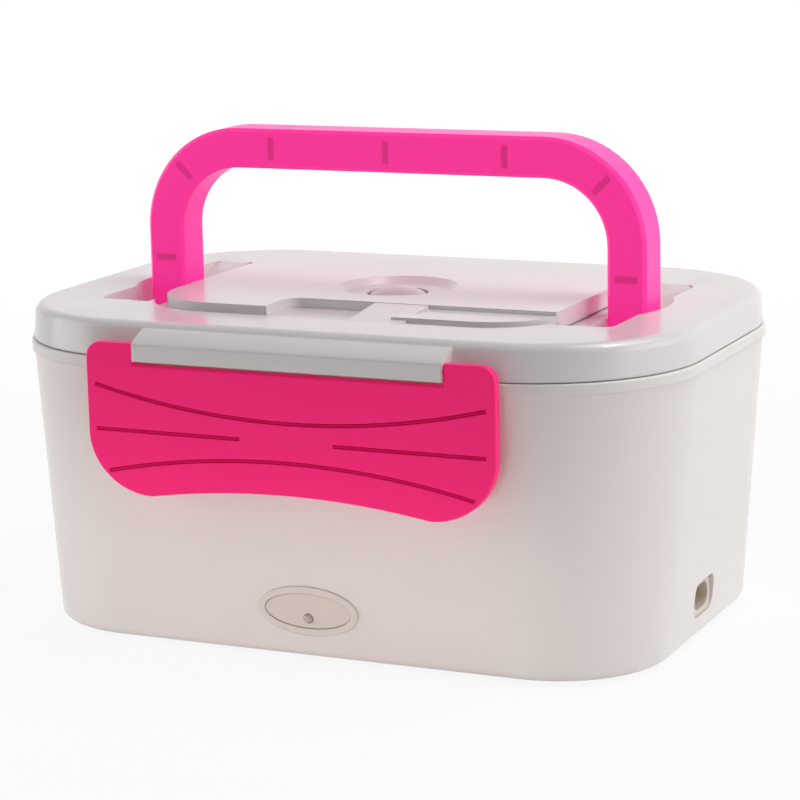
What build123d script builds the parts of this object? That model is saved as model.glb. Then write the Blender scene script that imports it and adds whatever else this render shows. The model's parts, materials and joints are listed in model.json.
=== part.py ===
"""Electric lunch box: a tapered white body with a heated tray inside, a lift-off lid
held by two pink flap latches, and a pink carrying handle that swings on the lid.

Frame: X along the long side, -Y is the front, +Z up, origin under the middle of the
footprint. Millimetres. Outlines that taper are pairs of rounded rectangles.
"""
import os
from math import atan2, cos, degrees, radians, sin, tan

from build123d import *

# ---------------------------------------------------------------- driving dimensions
# Each outline is (length along X, width along Y, corner radius).
FOOT_HEIGHT = 1.2          # gap under the body
BODY_BOTTOM = (214.0, 143.5, 36.0)
BODY_TOP = (229.9, 160.0, 51.0)
BODY_TOP_Z = 92.4          # where the body wall meets the rim band
BODY_WALL = 2.2
BODY_EDGE_ROUND = 3.0
LIP_THICK = 3.4            # inward lip that carries the bottom cover
BAND_STEP = 0.8            # the rim band stands this far out of the body wall
BAND_TOP_Z = 96.0

# bottom cover, its screws and feet
COVER_OUTLINE = (190.0, 120.0, 28.0)
COVER_THICK = 1.8
COVER_LEDGE = 5.0          # overlap between cover and body lip
COVER_PLAY = 0.3
SCREW_X, SCREW_Y = 76.0, 34.0
SCREW_RADIUS = 1.5
SCREW_HEAD_RADIUS = 2.9
SCREW_HEAD_HEIGHT = 1.8
SCREW_LENGTH = 9.0
SCREW_PLAY = 0.05
PAD_RADIUS = 5.0           # thickened ring round each bottom screw
PAD_HEIGHT = 2.0
BOSS_RADIUS = 4.0
FOOT_X, FOOT_Y = 80.0, 46.0
FOOT_RADIUS = 5.0
FOOT_PLUG_RADIUS = 3.0
FOOT_PLUG = 1.2

# inner liner: the white bowl that the tray drops into
LINER_WALL = 2.0
FLOOR_TOP_Z = 30.0
LEDGE_Z = 88.0             # the ledge under the tray's rim
CAVITY_BOTTOM = (192.0, 121.0, 30.0)
CAVITY_TOP = (208.0, 135.4, 38.0)
MOUTH = (219.0, 149.0, 45.5)   # opening above the ledge

# heating plate and what is under it
PLATE = (120.0, 80.0, 18.0)
PLATE_THICK = 2.2
PLATE_BOSS = (104.0, 64.0, 12.0)   # the part that goes down through the floor
PLATE_BOSS_DEPTH = 3.4
PLATE_PLAY = 0.6
GASKET_THICK = 0.8
GASKET_INSET = 1.0
HEATER_SIZE = (70.0, 24.0, 5.0)
CLAMP_WIDTH = 16.0
CLAMP_THICK = 2.0
CLAMP_FOOT = 7.0
CLAMP_REACH = 66.0         # half length of the clamp, out to the end of its feet
CLAMP_SCREW_X = 45.0
THERMOSTAT_AT = (20.0, 21.0)
THERMOSTAT_RADIUS = 7.5
THERMOSTAT_CAP = 3.4
THERMOSTAT_BODY = 6.0
TAB_SIZE = (7.0, 4.8, 0.8)
FUSE_AT = (-20.0, 21.0)
FUSE_RADIUS = 2.4
FUSE_LENGTH = 14.0
FUSE_LEAD = 4.0
FUSE_LEAD_RADIUS = 0.6

# inlet on the right end
INLET_Y, INLET_Z = -4.0, 14.0
INLET_OPENING = (19.0, 12.0, 4.0)  # width along Y, height along Z, corner radius
INLET_PLAY = 0.2
INLET_FLANGE = 3.0         # the flange overlaps the wall this much on each side
INLET_FLANGE_THICK = 2.4
INLET_DEPTH = 16.0
INLET_RECESS = 1.1
SOCKET_CAVITY = (14.0, 8.0, 3.9)
SOCKET_DEPTH = 12.0
PIN_SPACING = 8.0
PIN_RADIUS = 1.1
SPADE = (8.0, 4.4, 0.8)    # flat tail of each pin

# oval indicator on the front wall
OVAL_Z = 17.0
OVAL = (17.5, 8.25)        # half axes of the bezel's face
OVAL_RING = 2.4            # width of the bezel's visible ring
BEZEL_PROUD = 0.7
BEZEL_LIP = 1.3            # the bezel's face covers the edge of its hole
BEZEL_DEPTH = 4.0
OVAL_PLAY = 0.15
LENS_THICK = 2.0
LED_DROP = 2.5             # the light sits this far below the oval's middle
LED_RADIUS = 1.5
LED_LENGTH = 6.0
LED_FLANGE = 0.5
LED_PROUD = 0.5
BOARD_SIZE = (20.0, 8.6, 1.2)
BOARD_GAP = 6.0            # from the lens to the board, along the posts
POST_RADIUS = 1.2
POST_X = 8.0

WIRE_RADIUS = 1.0
THIN_WIRE_RADIUS = 0.7
LED_RUN_Z = 9.0
# each thin wire: start x on the board, y of its long run, x of its turn, how far before the
# housing it rises, y of its last run
LED_RUNS = ((6.0, -50.0, 64.0, 2.5, -20.0), (-6.0, -46.0, 60.0, 5.5, -16.0))

# food tray, side box
SEAT = 0.2                 # gap between loose flat faces that rest on each other
TRAY_WALL = 1.6
TRAY_PLAY = 0.7
TRAY_RIM_THICK = 1.5
TRAY_RIM_PLAY = 0.6
TRAY_EDGE_ROUND = 5.0
SIDE_BOX_X = 62.0
SIDE_BOX_BOTTOM = (50.0, 98.0, 20.0)
SIDE_BOX_TOP = (56.0, 104.0, 23.0)
SIDE_BOX_HEIGHT = 43.0
SIDE_BOX_WALL = 1.4
SIDE_LID_OVERHANG = 1.5
SIDE_LID_THICK = 2.0
SIDE_LID_PLUG = 4.0
SIDE_LID_PLAY = 0.3

# lid
LID_GAP = 0.3              # between the rim band and the lid's skirt
LID_SKIRT = (229.9, 160.0, 51.0)
LID_TOP = (228.4, 153.0, 47.0)
LID_TOP_Z = 107.4
LID_EDGE_ROUND = 3.6
LID_WALL = 2.2
LID_ROOF = 2.0
RECESS = (147.0, 108.0, 27.0)      # sunk middle of the lid
RECESS_Z = 103.4
DECK_THICK = 1.8
BAY = (132.8, 92.8, 20.0)          # cutlery bay below the sunk middle
BAY_FLOOR_Z = 96.4
BAY_WALL = 1.6
COLLAR_HEIGHT = 1.2
VENT_BOSS_RADIUS = 7.0
VENT_BORE_RADIUS = 3.6
VENT_TOP_Z = 105.4

# lid liner and its seal
SEAL_WIDTH = 3.2
SEAL_INNER = (207.2, 137.2, 39.6)
SEAL_HEIGHT = 3.7
SEAL_PLAY = 0.3
INNER_LID_THICK = 1.8
INNER_LID_WALL = 1.5
CHANNEL_LIFT = 0.5         # the seal stands this far below the inner lid's plate

# cutlery cover: the raised panel on the lid
PANEL = (139.0, 99.0, 23.0)
PANEL_TOP_Z = 109.5
PANEL_WALL = 1.2
PANEL_ROOF = 1.4
PANEL_FLOAT = 0.4          # skirt's clearance above the sunk deck
TERRACE_Z = 106.4
TERRACE_FROM_X = -24.0
TERRACE_Y = 32.0
TERRACE_CORNER = 6.0
DISH_RADIUS = 20.0
DISH_Z = 107.2
DISH_SLOPE = 3.0
PLUG_RADIUS = 9.3
PLUG_HOLE_PLAY = 0.9
TONGUE_X, TONGUE_WIDTH = 16.0, 19.0
TONGUE_REACH = 4.0         # the tongue crosses the channel to the lid's rim

# vent plug
PLUG_STEM_PLAY = 0.1
PLUG_STEM = 7.0
PLUG_DOME = 2.4
PLUG_EDGE = 1.2

# spoon in the cutlery bay
SPOON_Y = 27.0
SPOON_BOWL = (48.0, 32.0)
SPOON_LENGTH = 124.0
SPOON_THICK = 1.8
SPOON_BOWL_DEPTH = 5.0
SPOON_HANDLE_WIDTH = 10.0

# handle
PIVOT_Z = 100.3
HANDLE_INNER = 76.6        # half the distance between the legs
HANDLE_BAND = 13.3         # width of the U, seen from the front
HANDLE_DEPTH = 15.4        # front to back
HANDLE_TOP_Z = 161.3
HANDLE_INNER_ROUND = 21.5
HANDLE_WALL = 2.4
HANDLE_CHAMFER = 1.2
ROOT_RADIUS = 5.2          # rounded end of each leg, round the pivot
ROOT_SOLID_Z = 112.0       # legs are solid below this height
NECK_Z = 106.5             # legs narrow below this height
PEG_RADIUS = 2.8
PEG_LENGTH = 5.0
PEG_PLAY = 0.05
PEG_WALL_GAP = 0.3
RIB_THICK = 2.3
RIB_SPACING = 42.0
RIB_MARK = (2.3, 7.5, 0.5)
LEG_RIB_Z = 116.5
FOLD_ANGLE = 69.0          # swing to either side
FOLD_CLEARANCE = 0.4

# pockets in the lid for the handle's legs
POCKET_FLOOR_Z = 94.7
POCKET_WALL = 1.8
POCKET_BULGE_X, POCKET_BULGE_RADIUS = 57.5, 37.0
POCKET_CORNER = 5.0
POCKET_PLAY = 0.6

# latches
LATCH_HALF = 70.0
BAR_HALF = 53.0
LATCH_AXIS_Y, LATCH_AXIS_Z = 84.1, 99.2
LATCH_THICK = 3.0
LATCH_TOP_Z = 102.0
LATCH_MIDDLE_TOP_Z = 95.0
LATCH_LOBE_Z, LATCH_MIDDLE_Z = 53.0, 57.0
LATCH_LOBE_X = 48.0
LATCH_CORNER = 5.0
LATCH_BOTTOM_ROUND = 20.0
LATCH_EDGE = 0.6
LATCH_END_PLAY = 0.4
LATCH_PIN_RADIUS = 1.2
LATCH_PIN_LENGTH = 3.6
LATCH_PIN_PLAY = 0.05
GROOVE_WIDTH = 1.3
GROOVE_DEPTH = 0.6
BEAD_HALF = 40.0
BEAD_HEIGHT = 2.0
BEAD_GAP = 0.3
BAR_PROUD = 2.1            # the bar's face stands this far before the latch axis
BAR_BOTTOM_Z = 96.4
BAR_FACE_TOP_Z = 101.8
BAR_TOP_Z = 105.6


# ---------------------------------------------------------------- helpers
def grown(outline, by):
    """The outline moved outward by a distance (inward when negative)."""
    length, width, radius = outline
    return (length + 2 * by, width + 2 * by, max(radius + by, 0.5))


def between(low, low_z, high, high_z, z):
    """The outline at height z on the taper through two outlines."""
    share = (z - low_z) / (high_z - low_z)
    return tuple(a + (b - a) * share for a, b in zip(low, high))


def prism(outline, z_from, z_to):
    """A straight rounded-rectangle block."""
    return extrude(Pos(0, 0, z_from) * RectangleRounded(*outline), z_to - z_from)


def frustum(low, z_from, high, z_to):
    """A tapered rounded-rectangle block."""
    faces = [(Pos(0, 0, z) * RectangleRounded(*o)).face() for o, z in ((low, z_from), (high, z_to))]
    return loft(faces, ruled=True)


def rod(radius, start, end):
    """A round bar between two points."""
    start, end = Vector(*start), Vector(*end)
    axis = end - start
    return extrude(Plane(start, z_dir=axis.normalized()) * Circle(radius), axis.length)


def box(x_from, x_to, y_from, y_to, z_from, z_to):
    """A block given by its limits."""
    size = (x_to - x_from, y_to - y_from, z_to - z_from)
    middle = ((x_from + x_to) / 2, (y_from + y_to) / 2, (z_from + z_to) / 2)
    return Pos(*middle) * Box(*size)


def side_prism(points, x_from, x_to):
    """A block whose (y, z) profile is drawn from the side, between two X limits."""
    profile = Pos(x_from, 0, 0) * (Plane.YZ * Polygon(*points, align=None))
    return extrude(profile, x_to - x_from, dir=(1, 0, 0))


def round_edges(solid, z, radius):
    """Round the level edges of a solid at one height."""
    edges = [e for e in solid.edges() if abs(e.bounding_box().min.Z - z) < 1e-3
             and abs(e.bounding_box().max.Z - z) < 1e-3]
    return fillet(edges, radius)


def corners(x, y):
    """The four mirrored places of a repeated piece."""
    return [(sx * x, sy * y) for sx in (-1, 1) for sy in (-1, 1)]


def body_outline(z, inset=0.0):
    return grown(between(BODY_BOTTOM, FOOT_HEIGHT, BODY_TOP, BODY_TOP_Z, z), -inset)


def cavity_outline(z, out=0.0):
    return grown(between(CAVITY_BOTTOM, FLOOR_TOP_Z, CAVITY_TOP, LEDGE_Z, z), out)


def body_frustum(z_from, z_to, inset):
    return frustum(body_outline(z_from, inset), z_from, body_outline(z_to, inset), z_to)


def cavity_frustum(z_from, z_to, out):
    return frustum(cavity_outline(z_from, out), z_from, cavity_outline(z_to, out), z_to)


# heights that follow from the driving dimensions
COVER_TOP_Z = FOOT_HEIGHT + COVER_THICK
FLOOR_UNDER_Z = FLOOR_TOP_Z - LINER_WALL
PLATE_UNDER_Z = FLOOR_TOP_Z + GASKET_THICK
PLATE_TOP_Z = PLATE_UNDER_Z + PLATE_THICK
BOSS_UNDER_Z = PLATE_UNDER_Z - PLATE_BOSS_DEPTH
HEATER_UNDER_Z = BOSS_UNDER_Z - HEATER_SIZE[2]
CLAMP_UNDER_Z = HEATER_UNDER_Z - CLAMP_THICK
TRAY_BOTTOM_Z = PLATE_TOP_Z + SEAT
TRAY_RIM_Z = LEDGE_Z + SEAT
TRAY_TOP_Z = TRAY_RIM_Z + TRAY_RIM_THICK
SEAL_UNDER_Z = TRAY_TOP_Z + SEAT
SEAL_TOP_Z = SEAL_UNDER_Z + SEAL_HEIGHT
INNER_LID_Z = SEAL_UNDER_Z + CHANNEL_LIFT
SKIRT_Z = BAND_TOP_Z + LID_GAP
LID_ROOF_Z = LID_TOP_Z - LID_ROOF
PANEL_SKIRT_Z = RECESS_Z + PANEL_FLOAT
HANDLE_OUTER = HANDLE_INNER + HANDLE_BAND
POCKET_INNER_X = HANDLE_INNER - PEG_WALL_GAP
BODY_LEAN = degrees(atan2((BODY_TOP[1] - BODY_BOTTOM[1]) / 2, BODY_TOP_Z - FOOT_HEIGHT))


# ---------------------------------------------------------------- body
def front_wall_plane():
    """Plane on the leaning front wall, at the middle of the oval; +Z points outward."""
    lean = radians(BODY_LEAN)
    y = -body_outline(OVAL_Z)[1] / 2
    return Plane((0, y, OVAL_Z), x_dir=(1, 0, 0), z_dir=(0, -cos(lean), -sin(lean)))


def inlet_sketch(outline, x):
    """A rounded rectangle facing +X, at the inlet's middle."""
    place = Plane((x, INLET_Y, INLET_Z), x_dir=(0, 1, 0), z_dir=(1, 0, 0))
    return place * RectangleRounded(*outline)


def inlet_face_x():
    return body_outline(INLET_Z)[0] / 2 - INLET_RECESS


def inlet_flange_x():
    """Outer face of the inlet's flange, just inside the leaning end wall."""
    lowest = INLET_Z - INLET_OPENING[1] / 2 - INLET_FLANGE
    return body_outline(lowest)[0] / 2 - BODY_WALL - INLET_PLAY


def outer_body():
    """Tapered shell, open at the top; a lip at the bottom frames the bottom cover."""
    shell = body_frustum(FOOT_HEIGHT, BODY_TOP_Z, 0)
    shell = round_edges(shell, FOOT_HEIGHT, BODY_EDGE_ROUND)
    lip_top = FOOT_HEIGHT + LIP_THICK
    shell -= body_frustum(lip_top, BODY_TOP_Z, BODY_WALL)
    shell -= prism(grown(COVER_OUTLINE, -COVER_LEDGE), FOOT_HEIGHT, lip_top)
    shell -= prism(grown(COVER_OUTLINE, COVER_PLAY), FOOT_HEIGHT, COVER_TOP_Z)
    oval = Ellipse(OVAL[0] - BEZEL_LIP + OVAL_PLAY, OVAL[1] - BEZEL_LIP + OVAL_PLAY)
    shell -= extrude(front_wall_plane() * oval, 2 * BODY_WALL, both=True)
    shell -= extrude(inlet_sketch(INLET_OPENING, inlet_flange_x()), 4 * BODY_WALL)
    cradle_top = INLET_Z - INLET_OPENING[1] / 2 + INLET_PLAY
    cradle_x = inlet_flange_x() - INLET_FLANGE_THICK - SEAT
    half = INLET_OPENING[0] / 2 - INLET_FLANGE
    return shell + box(cradle_x - INLET_DEPTH / 2, cradle_x, INLET_Y - half, INLET_Y + half,
                       lip_top - 1, cradle_top)


def inner_liner():
    """Bowl with a ledge for the tray; its flange caps the body wall as the rim band."""
    band = prism(grown(BODY_TOP, BAND_STEP), BODY_TOP_Z, BAND_TOP_Z)
    band = round_edges(band, BAND_TOP_Z, BAND_STEP)
    ledge_under = LEDGE_Z - LINER_WALL
    mouth = prism(grown(MOUTH, LINER_WALL), ledge_under, BODY_TOP_Z)
    bowl = cavity_frustum(FLOOR_UNDER_Z, ledge_under, LINER_WALL)
    liner = band + mouth + bowl
    for x, y in corners(SCREW_X, SCREW_Y):
        liner += Pos(x, y, 0) * screw_boss()
    liner -= prism(MOUTH, LEDGE_Z, BAND_TOP_Z)
    liner -= cavity_frustum(FLOOR_TOP_Z, LEDGE_Z, 0)
    return liner - prism(grown(PLATE_BOSS, PLATE_PLAY), FLOOR_UNDER_Z, FLOOR_TOP_Z)


def screw_boss():
    """Post under the liner's floor that a bottom screw bites into."""
    low = COVER_TOP_Z + PAD_HEIGHT + SEAT
    post = rod(BOSS_RADIUS, (0, 0, low), (0, 0, FLOOR_UNDER_Z))
    return post - rod(SCREW_RADIUS + SCREW_PLAY, (0, 0, low), (0, 0, low + SCREW_LENGTH))


def bottom_cover():
    """Flush plate with a thickened, counterbored pad at each screw."""
    cover = prism(COVER_OUTLINE, FOOT_HEIGHT, COVER_TOP_Z)
    head_top = COVER_TOP_Z + PAD_HEIGHT - COVER_THICK
    for x, y in corners(SCREW_X, SCREW_Y):
        cover += rod(PAD_RADIUS, (x, y, COVER_TOP_Z), (x, y, COVER_TOP_Z + PAD_HEIGHT))
        cover -= rod(SCREW_HEAD_RADIUS + COVER_PLAY, (x, y, FOOT_HEIGHT), (x, y, head_top))
        cover -= rod(SCREW_RADIUS + COVER_PLAY, (x, y, head_top), (x, y, COVER_TOP_Z + PAD_HEIGHT))
    for x, y in corners(FOOT_X, FOOT_Y):
        cover -= rod(FOOT_PLUG_RADIUS, (x, y, FOOT_HEIGHT), (x, y, FOOT_HEIGHT + FOOT_PLUG))
    return cover


def screw(head_top, length, head_radius=SCREW_HEAD_RADIUS):
    """Cross-head screw pointing up, head below head_top."""
    head = rod(head_radius, (0, 0, head_top - SCREW_HEAD_HEIGHT), (0, 0, head_top))
    slot = SCREW_RADIUS / 3
    low = head_top - SCREW_HEAD_HEIGHT
    for across, along in ((slot, head_radius * 0.6), (head_radius * 0.6, slot)):
        head -= box(-across, across, -along, along, low, low + SCREW_HEAD_HEIGHT / 2)
    return head + rod(SCREW_RADIUS, (0, 0, head_top), (0, 0, head_top + length))


def bottom_screws():
    head_top = COVER_TOP_Z + PAD_HEIGHT - COVER_THICK
    return Compound([(Pos(x, y, 0) * screw(head_top, SCREW_LENGTH)).solid()
                     for x, y in corners(SCREW_X, SCREW_Y)])


def rubber_feet():
    feet = []
    for x, y in corners(FOOT_X, FOOT_Y):
        foot = rod(FOOT_RADIUS, (x, y, 0), (x, y, FOOT_HEIGHT))
        foot = round_edges(foot, 0, FOOT_HEIGHT / 3)
        foot += rod(FOOT_PLUG_RADIUS, (x, y, FOOT_HEIGHT), (x, y, FOOT_HEIGHT + FOOT_PLUG))
        feet.append(foot.solid())
    return Compound(feet)


# ---------------------------------------------------------------- heating
def heating_plate():
    """Cast plate in the liner's floor; its boss reaches down to the heater."""
    plate = prism(PLATE, PLATE_UNDER_Z, PLATE_TOP_Z)
    plate = round_edges(plate, PLATE_TOP_Z, PLATE_THICK / 3)
    plate += prism(PLATE_BOSS, BOSS_UNDER_Z, PLATE_UNDER_Z)
    for sx in (-1, 1):
        x = sx * CLAMP_SCREW_X
        plate -= rod(SCREW_RADIUS + SCREW_PLAY, (x, 0, BOSS_UNDER_Z), (x, 0, PLATE_UNDER_Z))
    return plate


def plate_gasket():
    ring = prism(grown(PLATE, -GASKET_INSET), FLOOR_TOP_Z, PLATE_UNDER_Z)
    return ring - prism(grown(PLATE_BOSS, PLATE_PLAY), FLOOR_TOP_Z, PLATE_UNDER_Z)


def ptc_heater():
    """Flat ceramic heater in its fluted case, with two terminals."""
    length, width, height = HEATER_SIZE
    case = box(-length / 2, length / 2, -width / 2, width / 2, HEATER_UNDER_Z, BOSS_UNDER_Z)
    flutes = 6
    for i in range(flutes):
        y = (i - (flutes - 1) / 2) * width / flutes
        case -= box(-length / 2, length / 2, y - 0.6, y + 0.6, HEATER_UNDER_Z, HEATER_UNDER_Z + 1)
    tab_x, tab_y, tab_z = TAB_SIZE
    z = (HEATER_UNDER_Z + BOSS_UNDER_Z) / 2
    for sx in (-1, 1):
        start = sx * length / 2
        x_from, x_to = sorted((start, start + sx * tab_x * 0.7))
        case += box(x_from, x_to, width / 2 - tab_y - 1, width / 2 - 1, z, z + tab_z)
    return case


def heater_clamp():
    """Bent steel strap: the middle presses the heater up, the feet bear on the liner."""
    half = CLAMP_WIDTH / 2
    bend = CLAMP_REACH - CLAMP_FOOT
    strap = box(-bend, bend, -half, half, CLAMP_UNDER_Z, HEATER_UNDER_Z)
    for sx in (-1, 1):
        x_from, x_to = sorted((sx * bend, sx * (bend - CLAMP_THICK)))
        strap += box(x_from, x_to, -half, half, CLAMP_UNDER_Z, FLOOR_UNDER_Z)
        x_from, x_to = sorted((sx * (bend - CLAMP_THICK), sx * CLAMP_REACH))
        strap += box(x_from, x_to, -half, half, FLOOR_UNDER_Z - CLAMP_THICK, FLOOR_UNDER_Z)
        x = sx * CLAMP_SCREW_X
        strap -= rod(SCREW_RADIUS + COVER_PLAY, (x, 0, CLAMP_UNDER_Z), (x, 0, HEATER_UNDER_Z))
    return strap


def clamp_screws():
    length = PLATE_UNDER_Z - CLAMP_UNDER_Z - SEAT
    return Compound([(Pos(sx * CLAMP_SCREW_X, 0, 0) * screw(CLAMP_UNDER_Z, length)).solid()
                     for sx in (-1, 1)])


def thermostat():
    """Snap disc under the plate: metal cap, flange, body and two flat terminals."""
    x, y = THERMOSTAT_AT
    flange_z = BOSS_UNDER_Z - THERMOSTAT_CAP
    low = flange_z - THERMOSTAT_BODY
    disc = rod(THERMOSTAT_RADIUS, (x, y, low), (x, y, BOSS_UNDER_Z))
    disc += rod(THERMOSTAT_RADIUS + 0.9, (x, y, flange_z - 1), (x, y, flange_z))
    tab_x, tab_y, tab_z = TAB_SIZE
    reach = THERMOSTAT_RADIUS + tab_x
    return disc + box(x - reach, x + reach, y - tab_y / 2, y + tab_y / 2, low + 1, low + 1 + tab_z)


def thermal_fuse():
    x, y = FUSE_AT
    z = fuse_axis_z()
    half = FUSE_LENGTH / 2
    sleeve = rod(FUSE_RADIUS, (x - half, y, z), (x + half, y, z))
    lead = half + FUSE_LEAD
    return sleeve + rod(FUSE_LEAD_RADIUS, (x - lead, y, z), (x + lead, y, z))


def fuse_axis_z():
    return BOSS_UNDER_Z - FUSE_RADIUS - SEAT


# ---------------------------------------------------------------- inlet and indicator
def power_inlet():
    """Socket housing behind the end wall, with a collar in the wall's opening."""
    flange_x, face_x = inlet_flange_x(), inlet_face_x()
    collar = extrude(inlet_sketch(grown(INLET_OPENING, -INLET_PLAY), flange_x), face_x - flange_x)
    flange = extrude(inlet_sketch(grown(INLET_OPENING, INLET_FLANGE), flange_x), -INLET_FLANGE_THICK)
    barrel = extrude(inlet_sketch(grown(INLET_OPENING, -INLET_PLAY), flange_x), -INLET_DEPTH)
    housing = collar + flange + barrel
    housing -= extrude(inlet_sketch(SOCKET_CAVITY, face_x), -SOCKET_DEPTH)
    for y, z in pin_places():
        housing -= rod(PIN_RADIUS, (face_x - SOCKET_DEPTH, y, z), (flange_x - INLET_DEPTH, y, z))
    return housing


def pin_places():
    return [(INLET_Y + side * PIN_SPACING / 2, INLET_Z) for side in (-1, 1)]


def barrel_end_x():
    return inlet_flange_x() - INLET_DEPTH


def inlet_pins():
    """Two round pins, each with a flat spade behind the housing for the wires."""
    tip, back = inlet_face_x() - 2, barrel_end_x()
    pins = []
    for y, z in pin_places():
        pin = rod(PIN_RADIUS, (back - 1, y, z), (tip, y, z))
        pin += box(back - SPADE[0], back - 0.2, y - SPADE[1] / 2, y + SPADE[1] / 2,
                   z - SPADE[2] / 2, z + SPADE[2] / 2)
        pins.append(pin.solid())
    return Compound(pins)


def indicator_bezel():
    """Oval ring with a face that covers the edge of the wall's opening."""
    wall = front_wall_plane()
    face = extrude(wall * Ellipse(*OVAL), BEZEL_PROUD)
    sleeve = Ellipse(OVAL[0] - BEZEL_LIP, OVAL[1] - BEZEL_LIP)
    ring = face + extrude(wall * sleeve, -BEZEL_DEPTH)
    window = Ellipse(OVAL[0] - OVAL_RING, OVAL[1] - OVAL_RING)
    return ring - extrude(wall * window, BEZEL_DEPTH, both=True)


def lens_plane():
    """Inner face of the lens; its outer face is just below the bezel's face."""
    return front_wall_plane().offset(BEZEL_PROUD / 2 - LENS_THICK)


def indicator_lens():
    """Oval window with a hole for the light and two posts for the board."""
    back = lens_plane()
    lens = Ellipse(OVAL[0] - OVAL_RING - OVAL_PLAY, OVAL[1] - OVAL_RING - OVAL_PLAY)
    lens -= Pos(0, -LED_DROP) * Circle(LED_RADIUS + OVAL_PLAY)
    window = extrude(back * lens, LENS_THICK)
    for x in (-POST_X, POST_X):
        window += extrude(back * Pos(x, 0) * Circle(POST_RADIUS), -BOARD_GAP)
    return window


def indicator_led():
    """Small round light: flange behind the lens, domed tip just proud of it."""
    back = lens_plane() * Pos(0, -LED_DROP, 0)
    barrel = extrude(back * Circle(LED_RADIUS), LENS_THICK)
    tip = back * Pos(0, 0, LENS_THICK) * Sphere(LED_RADIUS)
    flange = extrude(back * Circle(LED_RADIUS + LED_FLANGE), -1)
    return barrel + tip + flange


def led_board():
    """Board on the lens posts, with a resistor and the light's two leads."""
    back = lens_plane().offset(-BOARD_GAP)
    length, width, thick = BOARD_SIZE
    board = extrude(back * Rectangle(length, width), -thick)
    board += extrude(back * Pos(0, width / 4) * Rectangle(6, 2), 2)
    for side in (-1, 1):
        board += extrude(back * Pos(side * 0.8, -LED_DROP) * Circle(0.3), BOARD_GAP - 1)
    return board


# ---------------------------------------------------------------- wires
def wire(points, radius, bend):
    """A round wire along straight runs joined by tangent arcs."""
    path = FilletPolyline(*points, radius=bend)
    start = Plane(path @ 0, z_dir=path % 0)
    return sweep(start * Circle(radius), path=path).solid()


def terminals():
    """Where each wire ends: tips of the pins, thermostat, fuse and heater terminals."""
    tx, ty = THERMOSTAT_AT
    fx, fy = FUSE_AT
    tab_z = BOSS_UNDER_Z - THERMOSTAT_CAP - THERMOSTAT_BODY + 1 + TAB_SIZE[2] / 2
    tab_reach = THERMOSTAT_RADIUS + TAB_SIZE[0]
    lead_reach = FUSE_LENGTH / 2 + FUSE_LEAD
    heater_x = HEATER_SIZE[0] / 2 + TAB_SIZE[0] * 0.7
    heater_y = HEATER_SIZE[1] / 2 - 1 - TAB_SIZE[1] / 2
    heater_z = (HEATER_UNDER_Z + BOSS_UNDER_Z + TAB_SIZE[2]) / 2
    tail_x = barrel_end_x() - SPADE[0]
    neutral, live = pin_places()
    return {
        "live pin": (tail_x, *live),
        "neutral pin": (tail_x, *neutral),
        "thermostat right": (tx + tab_reach, ty, tab_z),
        "thermostat left": (tx - tab_reach, ty, tab_z),
        "fuse right": (fx + lead_reach, fy, fuse_axis_z()),
        "fuse left": (fx - lead_reach, fy, fuse_axis_z()),
        "heater left": (-heater_x, heater_y, heater_z),
        "heater right": (heater_x, heater_y, heater_z),
    }


def moved(point, dx=0.0, dy=0.0, dz=0.0):
    return (point[0] + dx, point[1] + dy, point[2] + dz)


def live_wire():
    """Live pin to the thermostat."""
    ends = terminals()
    start, stop = ends["live pin"], ends["thermostat right"]
    return wire([start, moved(start, dx=-12), moved(stop, dx=12), stop], WIRE_RADIUS, 6)


def bridge_wire():
    """Thermostat to the thermal fuse."""
    ends = terminals()
    start, stop = ends["thermostat left"], ends["fuse right"]
    return wire([start, moved(start, dx=-4), moved(stop, dx=3.5), stop], WIRE_RADIUS, 2)


def heater_wire():
    """Thermal fuse round to the heater's left terminal."""
    ends = terminals()
    start, stop = ends["fuse left"], ends["heater left"]
    return wire([start, moved(start, dx=-16), moved(stop, dx=-7.1), stop], WIRE_RADIUS, 3)


def neutral_wire():
    """Heater's right terminal past the clamp and back to the neutral pin."""
    ends = terminals()
    start, stop = ends["heater right"], ends["neutral pin"]
    return wire([start, moved(start, dx=7), moved(start, dx=11, dy=4, dz=-8),
                 moved(stop, dx=-10), stop], WIRE_RADIUS, 3)


def led_wires():
    """Two thin wires from the back of the board to the undersides of the spades."""
    back = lens_plane().offset(-BOARD_GAP - BOARD_SIZE[2])
    wires = []
    for (x, run_y, turn_x, rise_x, lead_y), (y, z) in zip(LED_RUNS, pin_places()):
        first, second = back.from_local_coords((x, 0, 0)), back.from_local_coords((x, 0, -6))
        rise = barrel_end_x() - rise_x
        points = [tuple(first), tuple(second), (x, run_y, LED_RUN_Z), (turn_x, run_y, LED_RUN_Z),
                  (turn_x, lead_y, LED_RUN_Z), (rise, lead_y, LED_RUN_Z), (rise, y, LED_RUN_Z),
                  (rise, y, z - SPADE[2] / 2)]
        wires.append(wire(points, THIN_WIRE_RADIUS, 2.5))
    return Compound(wires)


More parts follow.
